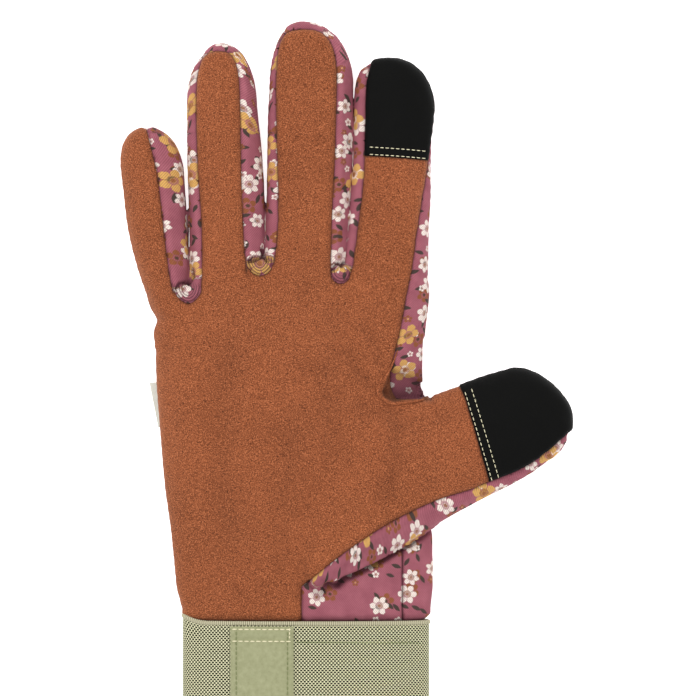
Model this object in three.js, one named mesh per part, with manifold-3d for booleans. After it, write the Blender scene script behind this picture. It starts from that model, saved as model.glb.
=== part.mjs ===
// A right-hand gardening glove, lying on its back with the palm up.
// Millimetres. +Z is up, the fingers point to +Y and the thumb to +X.
// The origin is on the table under the middle of the wrist seam.

import * as THREE from "three";
import { mergeVertices } from "three/addons/utils/BufferGeometryUtils.js";
import Module from "manifold-3d";

const wasm = await Module();
wasm.setup();

// Cloth and seams
const clothWall = 1.4;
const seamGap = 0.3;
const sideSeamHeight = 7.5;
const backSeamHeight = 4;

// Cuff
const cuffWidth = 85;
const cuffHeight = 18;
const cuffLength = 57;
const cuffOverlap = 4;
const cuffWall = 2;
const cuffRoll = 0.7;
const cuffRollLength = 2.4;
const handTuck = 6;
const handPastCuff = 5;

// Tab on the cuff
const tabWidth = 21.8;
const tabThickness = 1;
const tabCentre = -15;
const tabSetback = 1;

// Side label
const labelLength = 15.5;
const labelReach = 3.2;
const labelThickness = 1;
const labelPlace = 87;

// Hand
const handHeight = 22;
const knuckleLeft = 53.8;
const littleRingCrotch = 113.9;
const ringMiddleCrotch = 123.5;
const middleIndexCrotch = 120.8;
const crotchWeb = 6;
const gussetSeamInset = 9;

// Fingers
const fingerHeight = 16;
const littleWidth = 21.4;
const littleLength = 60.9;
const littleLean = 6.5;
const ringWidth = 26.8;
const ringLength = 85;
const ringLean = 0.4;
const middleWidth = 30;
const middleLength = 89;
const middleLean = -1.6;
const indexWidth = 27.6;
const indexLength = 77.5;
const indexLean = -0.9;
const indexPatchLength = 34;

// Thumb
const thumbWidth = 38.6;
const thumbHeight = 19;
const thumbLength = 50.7;
const thumbBaseLength = 62;
const thumbAngle = 25.2;
const thumbPlace = 59.4;
const thumbPatchLength = 33.8;
const patchEdgeSlant = 2.8;

// Fineness of the faceted forms
const fingerSides = 18;
const handSides = 30;
const thumbSides = 22;
const aboveAll = 60;
const beyondAll = 12;

const colours = {
  suede: 0xa55f3a,
  flowered: 0xa8646f,
  black: 0x191918,
  elastic: 0xa5af87,
  tape: 0xc8c8b9,
};

// Solids and how they are joined and cut

function solidFrom(geometry) {
  const plain = geometry.index ? geometry.toNonIndexed() : geometry;
  plain.deleteAttribute("normal");
  plain.deleteAttribute("uv");
  const merged = mergeVertices(plain, 1e-5);
  return new wasm.Manifold(
    new wasm.Mesh({
      numProp: 3,
      vertProperties: new Float32Array(merged.attributes.position.array),
      triVerts: new Uint32Array(merged.index.array),
    }),
  );
}

function geometryFrom(solid) {
  const mesh = solid.getMesh();
  const geometry = new THREE.BufferGeometry();
  geometry.setAttribute("position", new THREE.BufferAttribute(new Float32Array(mesh.vertProperties), 3));
  geometry.setIndex(new THREE.BufferAttribute(new Uint32Array(mesh.triVerts), 1));
  const flat = geometry.toNonIndexed();
  flat.computeVertexNormals();
  return flat;
}

function joined(solids) {
  return solids.reduce((whole, solid) => whole.add(solid));
}

function without(solid, cutters) {
  return cutters.reduce((rest, cutter) => rest.subtract(cutter), solid);
}

// A panel without the loose offcuts that the cuts leave inside the knuckles
function mainBody(solid) {
  return solid.decompose().reduce((largest, body) => (body.volume() > largest.volume() ? body : largest));
}

// A solid through rings with equal numbers of points, closed by a fan at each end.
// The rings are in the order in which across, turned towards up, points along them.
function loft(rings) {
  const sides = rings[0].length;
  const triangles = [];
  const middle = (points) =>
    points.reduce((sum, point) => sum.add(point), new THREE.Vector3()).divideScalar(points.length);
  for (let row = 0; row + 1 < rings.length; row += 1) {
    for (let side = 0; side < sides; side += 1) {
      const next = (side + 1) % sides;
      triangles.push(rings[row][side], rings[row][next], rings[row + 1][next]);
      triangles.push(rings[row][side], rings[row + 1][next], rings[row + 1][side]);
    }
  }
  const last = rings[rings.length - 1];
  const firstMiddle = middle(rings[0]);
  const lastMiddle = middle(last);
  for (let side = 0; side < sides; side += 1) {
    const next = (side + 1) % sides;
    triangles.push(firstMiddle, rings[0][next], rings[0][side]);
    triangles.push(lastMiddle, last[side], last[next]);
  }
  const geometry = new THREE.BufferGeometry().setFromPoints(triangles);
  return solidFrom(geometry);
}

// An upright prism over a flat outline
function prism(outline, low, high) {
  const shape = new THREE.Shape(outline);
  const geometry = new THREE.ExtrudeGeometry(shape, { depth: high - low, bevelEnabled: false });
  geometry.translate(0, 0, low);
  return solidFrom(geometry);
}

// An outline moved outward on every side, with its corners kept; it runs counterclockwise
function grown(outline, distance) {
  const outward = (from, to) => new THREE.Vector2(to.y - from.y, from.x - to.x).normalize();
  return outline.map((point, index) => {
    const before = outline[(index + outline.length - 1) % outline.length];
    const after = outline[(index + 1) % outline.length];
    const side = outward(before, point);
    const corner = outward(point, after).add(side).normalize();
    const reach = distance / Math.max(corner.dot(side), 0.5);
    return point.clone().addScaledVector(corner, reach);
  });
}

function between(from, to, share) {
  return from + (to - from) * share;
}

// Cross sections: a flat underside, and two shoulders that are fuller or leaner than an ellipse

const undersideFullness = 3;
const undersideOverreach = 1.12;
const widestShare = 0.45;

function sectionPoint(section, turn) {
  const cosine = Math.cos(turn);
  const sine = Math.sin(turn);
  const upperFullness = cosine > 0 ? section.rightFullness : section.leftFullness;
  const power = 2 / (sine >= 0 ? upperFullness : undersideFullness);
  const across = Math.sign(cosine) * Math.abs(cosine) ** power;
  const up = Math.sign(sine) * Math.abs(sine) ** power;
  const waist = between(section.low, section.top, widestShare);
  const reach = sine >= 0 ? section.top - waist : (waist - section.low) * undersideOverreach;
  return {
    across: between(section.left, section.right, 0.5 + across / 2),
    up: Math.max(section.low, waist + up * reach),
  };
}

function sectionRing(section, sides, place) {
  const ring = [];
  for (let side = 0; side < sides; side += 1) {
    const { across, up } = sectionPoint(section, (2 * Math.PI * side) / sides);
    ring.push(place(across, up));
  }
  return ring;
}

// A section moved outward by a distance, or inward where it is negative
function offsetSection(section, distance) {
  return {
    ...section,
    left: section.left - distance,
    right: section.right + distance,
    low: section.low - distance,
    top: section.top + distance,
  };
}

// The row of four fingers, laid side by side from the little finger's edge

const fingerRows = [
  { at: -0.22, low: 0, top: 0.9 },
  { at: 0, low: 0, top: 1 },
  { at: 0.22, low: 0, top: 1 },
  { at: 0.5, low: 0, top: 0.98 },
  { at: 0.75, low: 0, top: 0.93 },
];

// Edges and seams as shares of each finger's own width, in the order of the rows above.
// The root is the finger's width at its crotch, and the tip's fullness is 2 for an ellipse.
const fingerShapes = {
  little: {
    root: 0.612,
    tipFullness: 2.2,
    edges: [
      { left: -0.29, right: 0.27, seamLeft: -1, seamRight: 0.11 },
      { left: -0.31, right: 0.31, seamLeft: -1, seamRight: 0.11 },
      { left: -0.44, right: 0.38, seamLeft: -1, seamRight: 0.07 },
      { left: -0.52, right: 0.45, seamLeft: -1, seamRight: 0.07 },
      { left: -0.52, right: 0.48, seamLeft: -1, seamRight: 0.06 },
    ],
  },
  ring: {
    root: 0.952,
    tipFullness: 2.1,
    edges: [
      { left: -0.46, right: 0.47, seamLeft: -0.38, seamRight: 0.32 },
      { left: -0.47, right: 0.48, seamLeft: -0.3, seamRight: 0.3 },
      { left: -0.45, right: 0.5, seamLeft: -0.31, seamRight: 0.26 },
      { left: -0.47, right: 0.5, seamLeft: -0.36, seamRight: 0.23 },
      { left: -0.47, right: 0.43, seamLeft: -0.37, seamRight: 0.22 },
    ],
  },
  middle: {
    root: 0.933,
    tipFullness: 2.25,
    edges: [
      { left: -0.45, right: 0.47, seamLeft: -0.33, seamRight: 0.36 },
      { left: -0.46, right: 0.46, seamLeft: -0.34, seamRight: 0.33 },
      { left: -0.42, right: 0.49, seamLeft: -0.31, seamRight: 0.33 },
      { left: -0.44, right: 0.52, seamLeft: -0.34, seamRight: 0.33 },
      { left: -0.44, right: 0.49, seamLeft: -0.39, seamRight: 0.31 },
    ],
  },
  index: {
    root: 1.06,
    tipFullness: 2.6,
    edges: [
      { left: -0.5, right: 0.48, seamLeft: -0.41, seamRight: 0.18 },
      { left: -0.51, right: 0.53, seamLeft: -0.44, seamRight: 0.31 },
      { left: -0.46, right: 0.53, seamLeft: -0.38, seamRight: 0.39 },
      { left: -0.41, right: 0.55, seamLeft: -0.31, seamRight: 0.52 },
      { left: -0.39, right: 0.56, seamLeft: -0.31, seamRight: 0.6 },
    ],
  },
};

// The round end of a finger or thumb, as shares of the way from its last row to its tip
const endSteps = [0.4, 0.7, 0.9, 0.985];
const tipWaistShare = 0.42;

function makeFingers() {
  const middleRootHeight = (ringMiddleCrotch + middleIndexCrotch) / 2;
  const ringRootHeight = (littleRingCrotch + ringMiddleCrotch) / 2;
  const sizes = [
    { name: "little", width: littleWidth, length: littleLength, lean: littleLean, rootY: littleRingCrotch },
    { name: "ring", width: ringWidth, length: ringLength, lean: ringLean, rootY: ringRootHeight },
    { name: "middle", width: middleWidth, length: middleLength, lean: middleLean, rootY: middleRootHeight },
    { name: "index", width: indexWidth, length: indexLength, lean: indexLean, rootY: middleIndexCrotch },
  ];
  let edge = -knuckleLeft;
  return sizes.map((size) => {
    const shape = fingerShapes[size.name];
    const rootWidth = size.width * shape.root;
    const finger = {
      ...size,
      tipFullness: shape.tipFullness,
      rows: shape.edges.map((edges, row) => ({ ...fingerRows[row], ...edges })),
      rootX: edge + rootWidth / 2,
      rightEdge: edge + rootWidth,
    };
    edge += rootWidth;
    return finger;
  });
}

const fingers = makeFingers();
const [littleFinger, ringFinger, middleFinger, indexFinger] = fingers;
const knuckleRight = indexFinger.rightEdge;
const crotches = [
  { x: littleFinger.rightEdge, y: littleRingCrotch },
  { x: ringFinger.rightEdge, y: ringMiddleCrotch },
  { x: middleFinger.rightEdge, y: middleIndexCrotch },
];

// A place on a finger, from shares of its length and width
function onFinger(finger, along, across) {
  const lean = Math.tan(THREE.MathUtils.degToRad(finger.lean));
  const distance = along * finger.length;
  return new THREE.Vector2(
    finger.rootX - distance * lean + across * finger.width,
    finger.rootY + distance,
  );
}

// A finger's section at one row, in millimetres from its axis
function fingerSection(finger, row) {
  return {
    left: row.left * finger.width,
    right: row.right * finger.width,
    low: row.low * fingerHeight,
    top: row.top * fingerHeight,
    leftFullness: 2.2,
    rightFullness: 2.2,
  };
}

// The end of a closed tube narrows towards its tip
function endSection(section, step, fullness) {
  const size = (1 - step ** fullness) ** (1 / fullness);
  const centre = (section.left + section.right) / 2;
  const tipHeight = between(section.low, section.top, tipWaistShare);
  return {
    ...section,
    left: between(centre, section.left, size),
    right: between(centre, section.right, size),
    low: between(tipHeight, section.low, Math.sqrt(size)),
    top: between(tipHeight, section.top, Math.sqrt(size)),
  };
}

function fingerTube(finger, offset) {
  const place = (along) => (across, up) => {
    const point = onFinger(finger, along, across / finger.width);
    return new THREE.Vector3(point.x, point.y, up);
  };
  const rings = finger.rows.map((row) =>
    sectionRing(offsetSection(fingerSection(finger, row), offset), fingerSides, place(row.at)),
  );
  const lastRow = finger.rows[finger.rows.length - 1];
  const tipAt = 1 + offset / finger.length;
  const lastSection = offsetSection(fingerSection(finger, lastRow), offset);
  for (const step of endSteps) {
    const section = endSection(lastSection, step, finger.tipFullness);
    rings.push(sectionRing(section, fingerSides, place(between(lastRow.at, tipAt, step))));
  }
  return loft(rings.reverse());
}

// The hand, from inside the cuff to the knuckles

// Edges and seam as shares of half the hand's width there, heights as shares of the hand's height
const handRows = [
  { at: 0, left: 0.998, right: 1.014, top: 0.79, leftFullness: 2.4, rightFullness: 2 },
  { at: 0.08, left: 1.026, right: 1.032, top: 0.8, leftFullness: 2.4, rightFullness: 1.7 },
  { at: 0.24, left: 1.023, right: 1.025, top: 0.86, leftFullness: 2.4, rightFullness: 1.5 },
  { at: 0.4, left: 1.032, right: 1.015, top: 0.95, leftFullness: 2.4, rightFullness: 1.5 },
  { at: 0.56, left: 1.024, right: 0.985, top: 1, leftFullness: 2.4, rightFullness: 1.5 },
  { at: 0.72, left: 1.01, right: 0.957, top: 0.96, leftFullness: 2.5, rightFullness: 1.6 },
  { at: 0.85, left: 0.996, right: 0.968, top: 0.86, leftFullness: 2.6, rightFullness: 2 },
  { at: 0.97, left: 0.995, right: 0.998, top: 0.75, leftFullness: 2.8, rightFullness: 2.4 },
];

const thumbSideSeam = [
  { at: 0.946, across: 0.848 },
  { at: 0.873, across: 0.818 },
  { at: 0.8, across: 0.778 },
  { at: 0.728, across: 0.708 },
  { at: 0.655, across: 0.646 },
  { at: 0.63, across: 0.68 },
];

const handStart = cuffOverlap + handPastCuff;
const knuckleEndRounding = 4;

// The line through the bottoms of the webs between the fingers
function knuckleHeight(x) {
  const stops = [
    { x: -knuckleLeft, y: littleRingCrotch - crotchWeb },
    { x: crotches[0].x, y: crotches[0].y + crotchWeb },
    { x: crotches[1].x, y: crotches[1].y + crotchWeb },
    { x: crotches[2].x, y: crotches[2].y + crotchWeb },
    { x: knuckleRight, y: middleIndexCrotch },
  ];
  if (x <= stops[0].x) return stops[0].y;
  for (let stop = 1; stop < stops.length; stop += 1) {
    if (x <= stops[stop].x) {
      const share = (x - stops[stop - 1].x) / (stops[stop].x - stops[stop - 1].x);
      return between(stops[stop - 1].y, stops[stop].y, share);
    }
  }
  return stops[stops.length - 1].y;
}

function handHalfWidth(at) {
  return between(cuffWidth / 2, (knuckleLeft + knuckleRight) / 2, at);
}

function handCentre(at) {
  return between(0, (knuckleRight - knuckleLeft) / 2, at);
}

function onHand(at, across) {
  const x = handCentre(at) + across * handHalfWidth(at);
  return new THREE.Vector2(x, between(handStart, knuckleHeight(x), at));
}

function handSection(row) {
  return {
    left: handCentre(row.at) - row.left * handHalfWidth(row.at),
    right: handCentre(row.at) + row.right * handHalfWidth(row.at),
    low: 0,
    top: row.top * handHeight,
    leftFullness: row.leftFullness,
    rightFullness: row.rightFullness,
  };
}

// The hand's end, drawn in to pass inside the cuff
function tuckedSection() {
  const inset = cuffWall + seamGap;
  return offsetSection(cuffSection(), -inset);
}

function handTube(offset) {
  const atHeight = (y) => (across, up) => new THREE.Vector3(across, y, up);
  const alongHand = (at, ahead) => (across, up) =>
    new THREE.Vector3(across, between(handStart, knuckleHeight(across), at) + ahead, up);
  const tucked = offsetSection(tuckedSection(), offset);
  const opening = offset < 0 ? clothWall : 0;
  const rings = [
    sectionRing(tucked, handSides, atHeight(-handTuck - opening)),
    sectionRing(tucked, handSides, atHeight(cuffOverlap + seamGap)),
  ];
  for (const row of handRows) {
    rings.push(sectionRing(offsetSection(handSection(row), offset), handSides, alongHand(row.at, 0)));
  }
  const last = offsetSection(handSection(handRows[handRows.length - 1]), offset);
  const rounded = offsetSection(last, -knuckleEndRounding / 2);
  rings.push(sectionRing(last, handSides, alongHand(1, offset - knuckleEndRounding / 2)));
  rings.push(sectionRing(rounded, handSides, alongHand(1, offset)));
  return loft(rings.reverse());
}

// The thumb, whose base bulges over the palm

// Edges as shares of the thumb's width from its axis, heights as shares of its height.
// Places before the hand's edge are shares of the base's length, and those past it of the free length.
const thumbRows = [
  { at: -0.94, lower: -0.668, upper: -0.3, low: 0.4, top: 0.98 },
  { at: -0.72, lower: -0.62, upper: 0.05, low: 0.36, top: 1.1 },
  { at: -0.365, lower: -0.565, upper: 0.5, low: 0.3, top: 1.17 },
  { at: -0.14, lower: -0.523, upper: 0.64, low: 0.22, top: 1.17 },
  { at: 0, lower: -0.505, upper: 0.536, low: 0.12, top: 1.1 },
  { at: 0.2, lower: -0.503, upper: 0.492, low: 0.03, top: 1.03 },
  { at: 0.38, lower: -0.503, upper: 0.497, low: 0, top: 0.98 },
  { at: 0.6, lower: -0.467, upper: 0.465, low: 0, top: 0.9 },
  { at: 0.72, lower: -0.43, upper: 0.44, low: 0, top: 0.85 },
];

const thumbLowerSeam = [
  { at: 0.935, across: -0.295 },
  { at: 0.6, across: -0.4 },
  { at: 0.278, across: -0.386 },
  { at: -0.1, across: -0.319 },
  { at: -0.39, across: -0.329 },
  { at: -0.632, across: -0.386 },
  { at: -0.948, across: -0.503 },
];

const thumbTipFullness = 2.2;
const thumbRootX = cuffWidth / 2 + 1;

// A place on the thumb, from a distance along its axis and one across it
function onThumb(along, across) {
  const turn = THREE.MathUtils.degToRad(thumbAngle);
  return new THREE.Vector2(
    thumbRootX + along * Math.cos(turn) - across * Math.sin(turn),
    thumbPlace + along * Math.sin(turn) + across * Math.cos(turn),
  );
}

function thumbDistance(at) {
  return at * (at < 0 ? thumbBaseLength : thumbLength);
}

function thumbSection(row) {
  return {
    left: row.lower * thumbWidth,
    right: row.upper * thumbWidth,
    low: row.low * thumbHeight,
    top: row.top * thumbHeight,
    leftFullness: 2.3,
    rightFullness: 2.3,
  };
}

function thumbTube(offset) {
  const place = (along) => (across, up) => {
    const point = onThumb(along, across);
    return new THREE.Vector3(point.x, point.y, up);
  };
  const rings = thumbRows.map((row) =>
    sectionRing(offsetSection(thumbSection(row), offset), thumbSides, place(thumbDistance(row.at))),
  );
  const lastRow = thumbRows[thumbRows.length - 1];
  const lastSection = offsetSection(thumbSection(lastRow), offset);
  for (const step of endSteps) {
    const along = between(thumbDistance(lastRow.at), thumbLength + offset, step);
    rings.push(sectionRing(endSection(lastSection, step, thumbTipFullness), thumbSides, place(along)));
  }
  return loft(rings);
}

// The seams, as outlines seen from above

function seamOf(finger, side) {
  return finger.rows.filter((row) => row.at > 0).map((row) => onFinger(finger, row.at, row[side]));
}

const tipSeamReach = 0.25;
const tipSeamPast = 1.06;

// Up one side of a finger's front, round beyond its tip and down the other
function fingerFront(finger) {
  const leftSide = seamOf(finger, "seamLeft");
  const rightSide = seamOf(finger, "seamRight").reverse();
  return [
    ...leftSide,
    onFinger(finger, tipSeamPast, -tipSeamReach),
    onFinger(finger, tipSeamPast, tipSeamReach),
    ...rightSide,
  ];
}

// The round bottom of the seam between two fingers
function crotchSeam(crotch, leftFinger, rightFinger) {
  const from = onFinger(leftFinger, 0, leftFinger.rows[1].seamRight).x;
  const to = onFinger(rightFinger, 0, rightFinger.rows[1].seamLeft).x;
  const radius = (to - from) / 2;
  const centre = (from + to) / 2;
  const turns = [180, 216, 252, 288, 324, 360];
  return turns.map((degrees) => {
    const turn = THREE.MathUtils.degToRad(degrees);
    return new THREE.Vector2(centre + radius * Math.cos(turn), crotch.y + radius * (1 + Math.sin(turn)));
  });
}

// The outline of the palm's front piece, clockwise from the wrist's left, then turned round
function palmOutline() {
  const upperEdge = thumbRows
    .filter((row) => row.at >= 0)
    .map((row) => onThumb(thumbDistance(row.at), row.upper * thumbWidth + seamGap));
  const outline = [
    new THREE.Vector2(-knuckleLeft - beyondAll, -handTuck - beyondAll),
    new THREE.Vector2(-knuckleLeft - beyondAll, littleRingCrotch),
  ];
  fingers.forEach((finger, order) => {
    const front = fingerFront(finger);
    outline.push(...front.slice(order === 0 ? 1 : 0));
    if (order < crotches.length) {
      outline.push(...crotchSeam(crotches[order], finger, fingers[order + 1]));
    }
  });
  for (const row of thumbSideSeam) {
    outline.push(onHand(row.at, row.across));
  }
  outline.push(...upperEdge);
  outline.push(onThumb(thumbLength + beyondAll, thumbWidth / 2));
  outline.push(onThumb(thumbLength + beyondAll, thumbLowerSeam[0].across * thumbWidth));
  for (const row of thumbLowerSeam) {
    outline.push(onThumb(thumbDistance(row.at), row.across * thumbWidth));
  }
  const wristSeam = outline[outline.length - 1].x;
  outline.push(new THREE.Vector2(wristSeam, -handTuck - beyondAll));
  return outline.reverse();
}

// The parts of the front that the two black patches take, each from its lower edge to beyond the tip
function indexPatchOutline() {
  const low = 1 - indexPatchLength / indexFinger.length;
  return [
    onFinger(indexFinger, low, -0.45),
    onFinger(indexFinger, low - 0.015, 0.1),
    onFinger(indexFinger, low - 0.02, 1),
    onFinger(indexFinger, tipSeamPast * 1.2, 1),
    onFinger(indexFinger, tipSeamPast * 1.2, -0.45),
  ];
}

function thumbPatchOutline() {
  const start = thumbLength - thumbPatchLength;
  const end = thumbLength + 2 * beyondAll;
  return [
    onThumb(start - patchEdgeSlant, -thumbWidth / 2),
    onThumb(end, -thumbWidth / 2),
    onThumb(end, thumbWidth),
    onThumb(start + patchEdgeSlant, thumbWidth),
    onThumb(start + patchEdgeSlant, thumbWidth * 0.4),
  ];
}

// The strip of sides and web between two fingers lies between their axes
function fourchetteZone(crotch, leftFinger, rightFinger, inset) {
  const top = 1.5;
  return [
    new THREE.Vector2(onFinger(leftFinger, 0, 0).x + inset, crotch.y),
    new THREE.Vector2(onFinger(rightFinger, 0, 0).x - inset, crotch.y),
    onFinger(rightFinger, top, 0).add(new THREE.Vector2(-inset, 0)),
    onFinger(leftFinger, top, 0).add(new THREE.Vector2(inset, 0)),
  ];
}

// The cuff

function cuffSection() {
  return {
    left: -cuffWidth / 2,
    right: cuffWidth / 2,
    low: 0,
    top: cuffHeight,
    leftFullness: 2.4,
    rightFullness: 2.4,
  };
}

function cuffTube(offset, ends) {
  const place = (y) => (across, up) => new THREE.Vector3(across, y, up);
  const plain = offsetSection(cuffSection(), offset);
  const rolled = { ...plain, left: plain.left - cuffRoll, right: plain.right + cuffRoll, top: plain.top + cuffRoll };
  const rollStart = cuffOverlap - cuffRollLength;
  const stations = [
    { y: -cuffLength - ends, section: plain },
    { y: rollStart - cuffRoll, section: plain },
    { y: rollStart, section: rolled },
    { y: cuffOverlap - cuffRoll, section: rolled },
    { y: cuffOverlap + ends, section: plain },
  ];
  return loft(stations.map(({ y, section }) => sectionRing(section, handSides, place(y))).reverse());
}

function makeCuff() {
  const place = (y) => (across, up) => new THREE.Vector3(across, y, up);
  const inner = offsetSection(cuffSection(), -cuffWall);
  const hollow = loft([
    sectionRing(inner, handSides, place(cuffOverlap + beyondAll)),
    sectionRing(inner, handSides, place(-cuffLength - beyondAll)),
  ]);
  return cuffTube(0, 0).subtract(hollow);
}

function makeTab() {
  const outer = cuffTube(seamGap + tabThickness, 0);
  const inner = cuffTube(seamGap, beyondAll);
  const outline = [
    new THREE.Vector2(tabCentre - tabWidth / 2, -cuffLength),
    new THREE.Vector2(tabCentre + tabWidth / 2, -cuffLength),
    new THREE.Vector2(tabCentre + tabWidth / 2, cuffOverlap - tabSetback),
    new THREE.Vector2(tabCentre - tabWidth / 2, cuffOverlap - tabSetback),
  ];
  return outer.subtract(inner).intersect(prism(outline, cuffHeight / 2, aboveAll));
}

// The side label stands out of the seam at the hand's edge

function makeLabel() {
  const at = (labelPlace - handStart) / (littleRingCrotch - handStart);
  const reached = handRows.find((row) => row.at >= at);
  const edge = onHand(at, -reached.left).x - seamGap;
  const outline = [
    new THREE.Vector2(edge, labelPlace - labelLength),
    new THREE.Vector2(edge, labelPlace),
    new THREE.Vector2(edge - labelReach, labelPlace - labelReach / 8),
    new THREE.Vector2(edge - labelReach * 0.8, labelPlace - labelLength * 0.4),
  ];
  const low = sideSeamHeight - labelThickness;
  return prism(outline.reverse(), low, low + labelThickness);
}

// The shell of the whole glove, cut into its panels

function makePanels() {
  const outerThumb = thumbTube(0);
  const outer = joined([handTube(0), ...fingers.map((finger) => fingerTube(finger, 0)), outerThumb]);
  const inner = joined([
    handTube(-clothWall),
    ...fingers.map((finger) => fingerTube(finger, -clothWall)),
    thumbTube(-clothWall),
  ]);
  const shell = outer.subtract(inner);

  const front = palmOutline();
  const frontPanel = shell.intersect(prism(front, sideSeamHeight, aboveAll));
  const frontCut = prism(grown(front, seamGap), sideSeamHeight - seamGap, aboveAll);
  const patchZones = [indexPatchOutline(), thumbPatchOutline()].map((outline) => prism(outline, 0, aboveAll));
  const patchCuts = [indexPatchOutline(), thumbPatchOutline()].map((outline) =>
    prism(grown(outline, seamGap), 0, aboveAll),
  );

  const zones = crotches.map((crotch, order) =>
    prism(fourchetteZone(crotch, fingers[order], fingers[order + 1], seamGap), backSeamHeight, aboveAll),
  );
  const zoneCuts = crotches.map((crotch, order) =>
    prism(fourchetteZone(crotch, fingers[order], fingers[order + 1], 0), backSeamHeight - seamGap, aboveAll),
  );
  const rest = shell.subtract(frontCut);
  const restOfHand = rest.subtract(thumbTube(seamGap));
  const gussetEdge = cuffWidth / 2 - gussetSeamInset;
  const gussetZone = (inset, low) =>
    prism(
      [
        new THREE.Vector2(-cuffWidth / 4, -handTuck - beyondAll),
        new THREE.Vector2(gussetEdge - inset, -handTuck - beyondAll),
        new THREE.Vector2(gussetEdge - inset, thumbPlace),
        new THREE.Vector2(-cuffWidth / 4, thumbPlace),
      ],
      low,
      aboveAll,
    );

  return {
    palm_panel: mainBody(without(frontPanel, patchCuts)),
    hand_back: mainBody(without(restOfHand, [...zoneCuts, gussetZone(0, sideSeamHeight - seamGap)])),
    fourchette_little_ring: mainBody(rest.intersect(zones[0])),
    fourchette_ring_middle: mainBody(rest.intersect(zones[1])),
    fourchette_middle_index: mainBody(rest.intersect(zones[2])),
    thumb_back: mainBody(rest.intersect(outerThumb)),
    thumb_gusset: mainBody(restOfHand.intersect(gussetZone(seamGap, sideSeamHeight))),
    index_tip_patch: mainBody(frontPanel.intersect(patchZones[0])),
    thumb_tip_patch: mainBody(frontPanel.intersect(patchZones[1])),
  };
}

// The finished group

const materials = {
  suede: new THREE.MeshStandardMaterial({ color: colours.suede, roughness: 0.95, metalness: 0 }),
  flowered: new THREE.MeshStandardMaterial({ color: colours.flowered, roughness: 0.85, metalness: 0 }),
  black: new THREE.MeshStandardMaterial({ color: colours.black, roughness: 0.7, metalness: 0 }),
  elastic: new THREE.MeshStandardMaterial({ color: colours.elastic, roughness: 0.9, metalness: 0 }),
  tape: new THREE.MeshStandardMaterial({ color: colours.tape, roughness: 0.8, metalness: 0 }),
};

const materialOf = {
  palm_panel: "suede",
  hand_back: "flowered",
  fourchette_little_ring: "flowered",
  fourchette_ring_middle: "flowered",
  fourchette_middle_index: "flowered",
  thumb_back: "flowered",
  thumb_gusset: "flowered",
  index_tip_patch: "black",
  thumb_tip_patch: "black",
  cuff: "elastic",
  cuff_tab: "elastic",
  side_label: "tape",
};

function makeGlove() {
  const glove = new THREE.Group();
  const solids = { ...makePanels(), cuff: makeCuff(), cuff_tab: makeTab(), side_label: makeLabel() };
  for (const [name, solid] of Object.entries(solids)) {
    const mesh = new THREE.Mesh(geometryFrom(solid), materials[materialOf[name]]);
    mesh.name = name;
    glove.add(mesh);
  }
  return glove;
}

export default makeGlove();
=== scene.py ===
import math

import bpy
import numpy as np
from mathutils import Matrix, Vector
from mathutils.bvhtree import BVHTree


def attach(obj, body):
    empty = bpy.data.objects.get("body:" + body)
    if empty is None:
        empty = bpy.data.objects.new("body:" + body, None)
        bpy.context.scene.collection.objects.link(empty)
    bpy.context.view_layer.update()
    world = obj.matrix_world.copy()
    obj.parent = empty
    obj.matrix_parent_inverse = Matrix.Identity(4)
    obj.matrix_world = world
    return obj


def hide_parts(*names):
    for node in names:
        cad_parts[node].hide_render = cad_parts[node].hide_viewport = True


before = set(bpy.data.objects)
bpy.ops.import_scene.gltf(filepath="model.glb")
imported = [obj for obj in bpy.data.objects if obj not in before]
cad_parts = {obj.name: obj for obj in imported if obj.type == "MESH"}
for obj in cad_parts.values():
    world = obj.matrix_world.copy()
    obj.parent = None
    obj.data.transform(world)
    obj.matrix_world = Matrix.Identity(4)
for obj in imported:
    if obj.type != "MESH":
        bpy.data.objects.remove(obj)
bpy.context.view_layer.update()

# A right-hand gardening glove, lying on its back with the palm up.
# Sizes are in millimetres until a mesh is made, and places are in the part's own frame:
# +Z is up, the fingers point to +Y and the thumb to +X.

MM = 0.001
TAU = 2 * math.pi

# Cloth and seams
CLOTH_WALL = 1.2
SIDE_SEAM_HEIGHT = 6.2
TIP_SEAM_DROP = 1.2
BACK_SEAM_HEIGHT = 4
GRID_STEP = 0.76
GROUND_GAP = 0.02
SKIN_LOW = (-64.0, -9.0, -1.5)
SKIN_HIGH = (98.0, 214.0, 26.0)

# Cuff and tab
CUFF_WIDTH = 85
CUFF_HEIGHT = 18
CUFF_LENGTH = 57
CUFF_OVERLAP = 4
CUFF_WALL = 2
CUFF_ROLL = 0.7
SELVEDGE_AT = 4.2
SELVEDGE_HALF = 0.8
SELVEDGE_RIB = 0.72
HAND_TUCK = 6
TAB_WIDTH = 21.8
TAB_CENTRE = -15
TAB_TOP = 3.2

# Stitches: the distance from one to the next, their length and the thread's half thickness
PATCH_STITCH = (1.8, 1.2, 0.15)
TAB_END_STITCH = (2.05, 1.55, 0.24)
TAB_CORNER_STITCH = (1.3, 0.9, 0.2)
TAB_SIDE_STITCH = (1.7, 1.25, 0.19)
KNIT_STITCH = (1.25, 0.9, 0.2)
RAY_START = 60

# Label
LABEL_LENGTH = 15.5
LABEL_REACH = 3.2
LABEL_PLACE = 87
LABEL_HALF = 0.4

# Hand and thumb
HAND_HEIGHT = 22
HAND_START = 9
KNUCKLE_LEFT = 53.8
CROTCH_HEIGHTS = (113.9, 123.5, 120.8)
CROTCH_WEB = 6
CROTCH_POINTS = (0.4, 0, 0.1)
GUSSET_SEAM_X = 33.5
GUSSET_SEAM_END = 40
THUMB_WIDTH = 38.6
THUMB_HEIGHT = 19
THUMB_LENGTH = 50.7
THUMB_BASE = 62
THUMB_ANGLE = math.radians(25.2)
THUMB_ROOT = (43.5, 59.4)
THUMB_PATCH = 33.8
INDEX_PATCH = 34
PATCH_SLANT = 2.8
PATCH_STEP = 0.45

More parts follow.
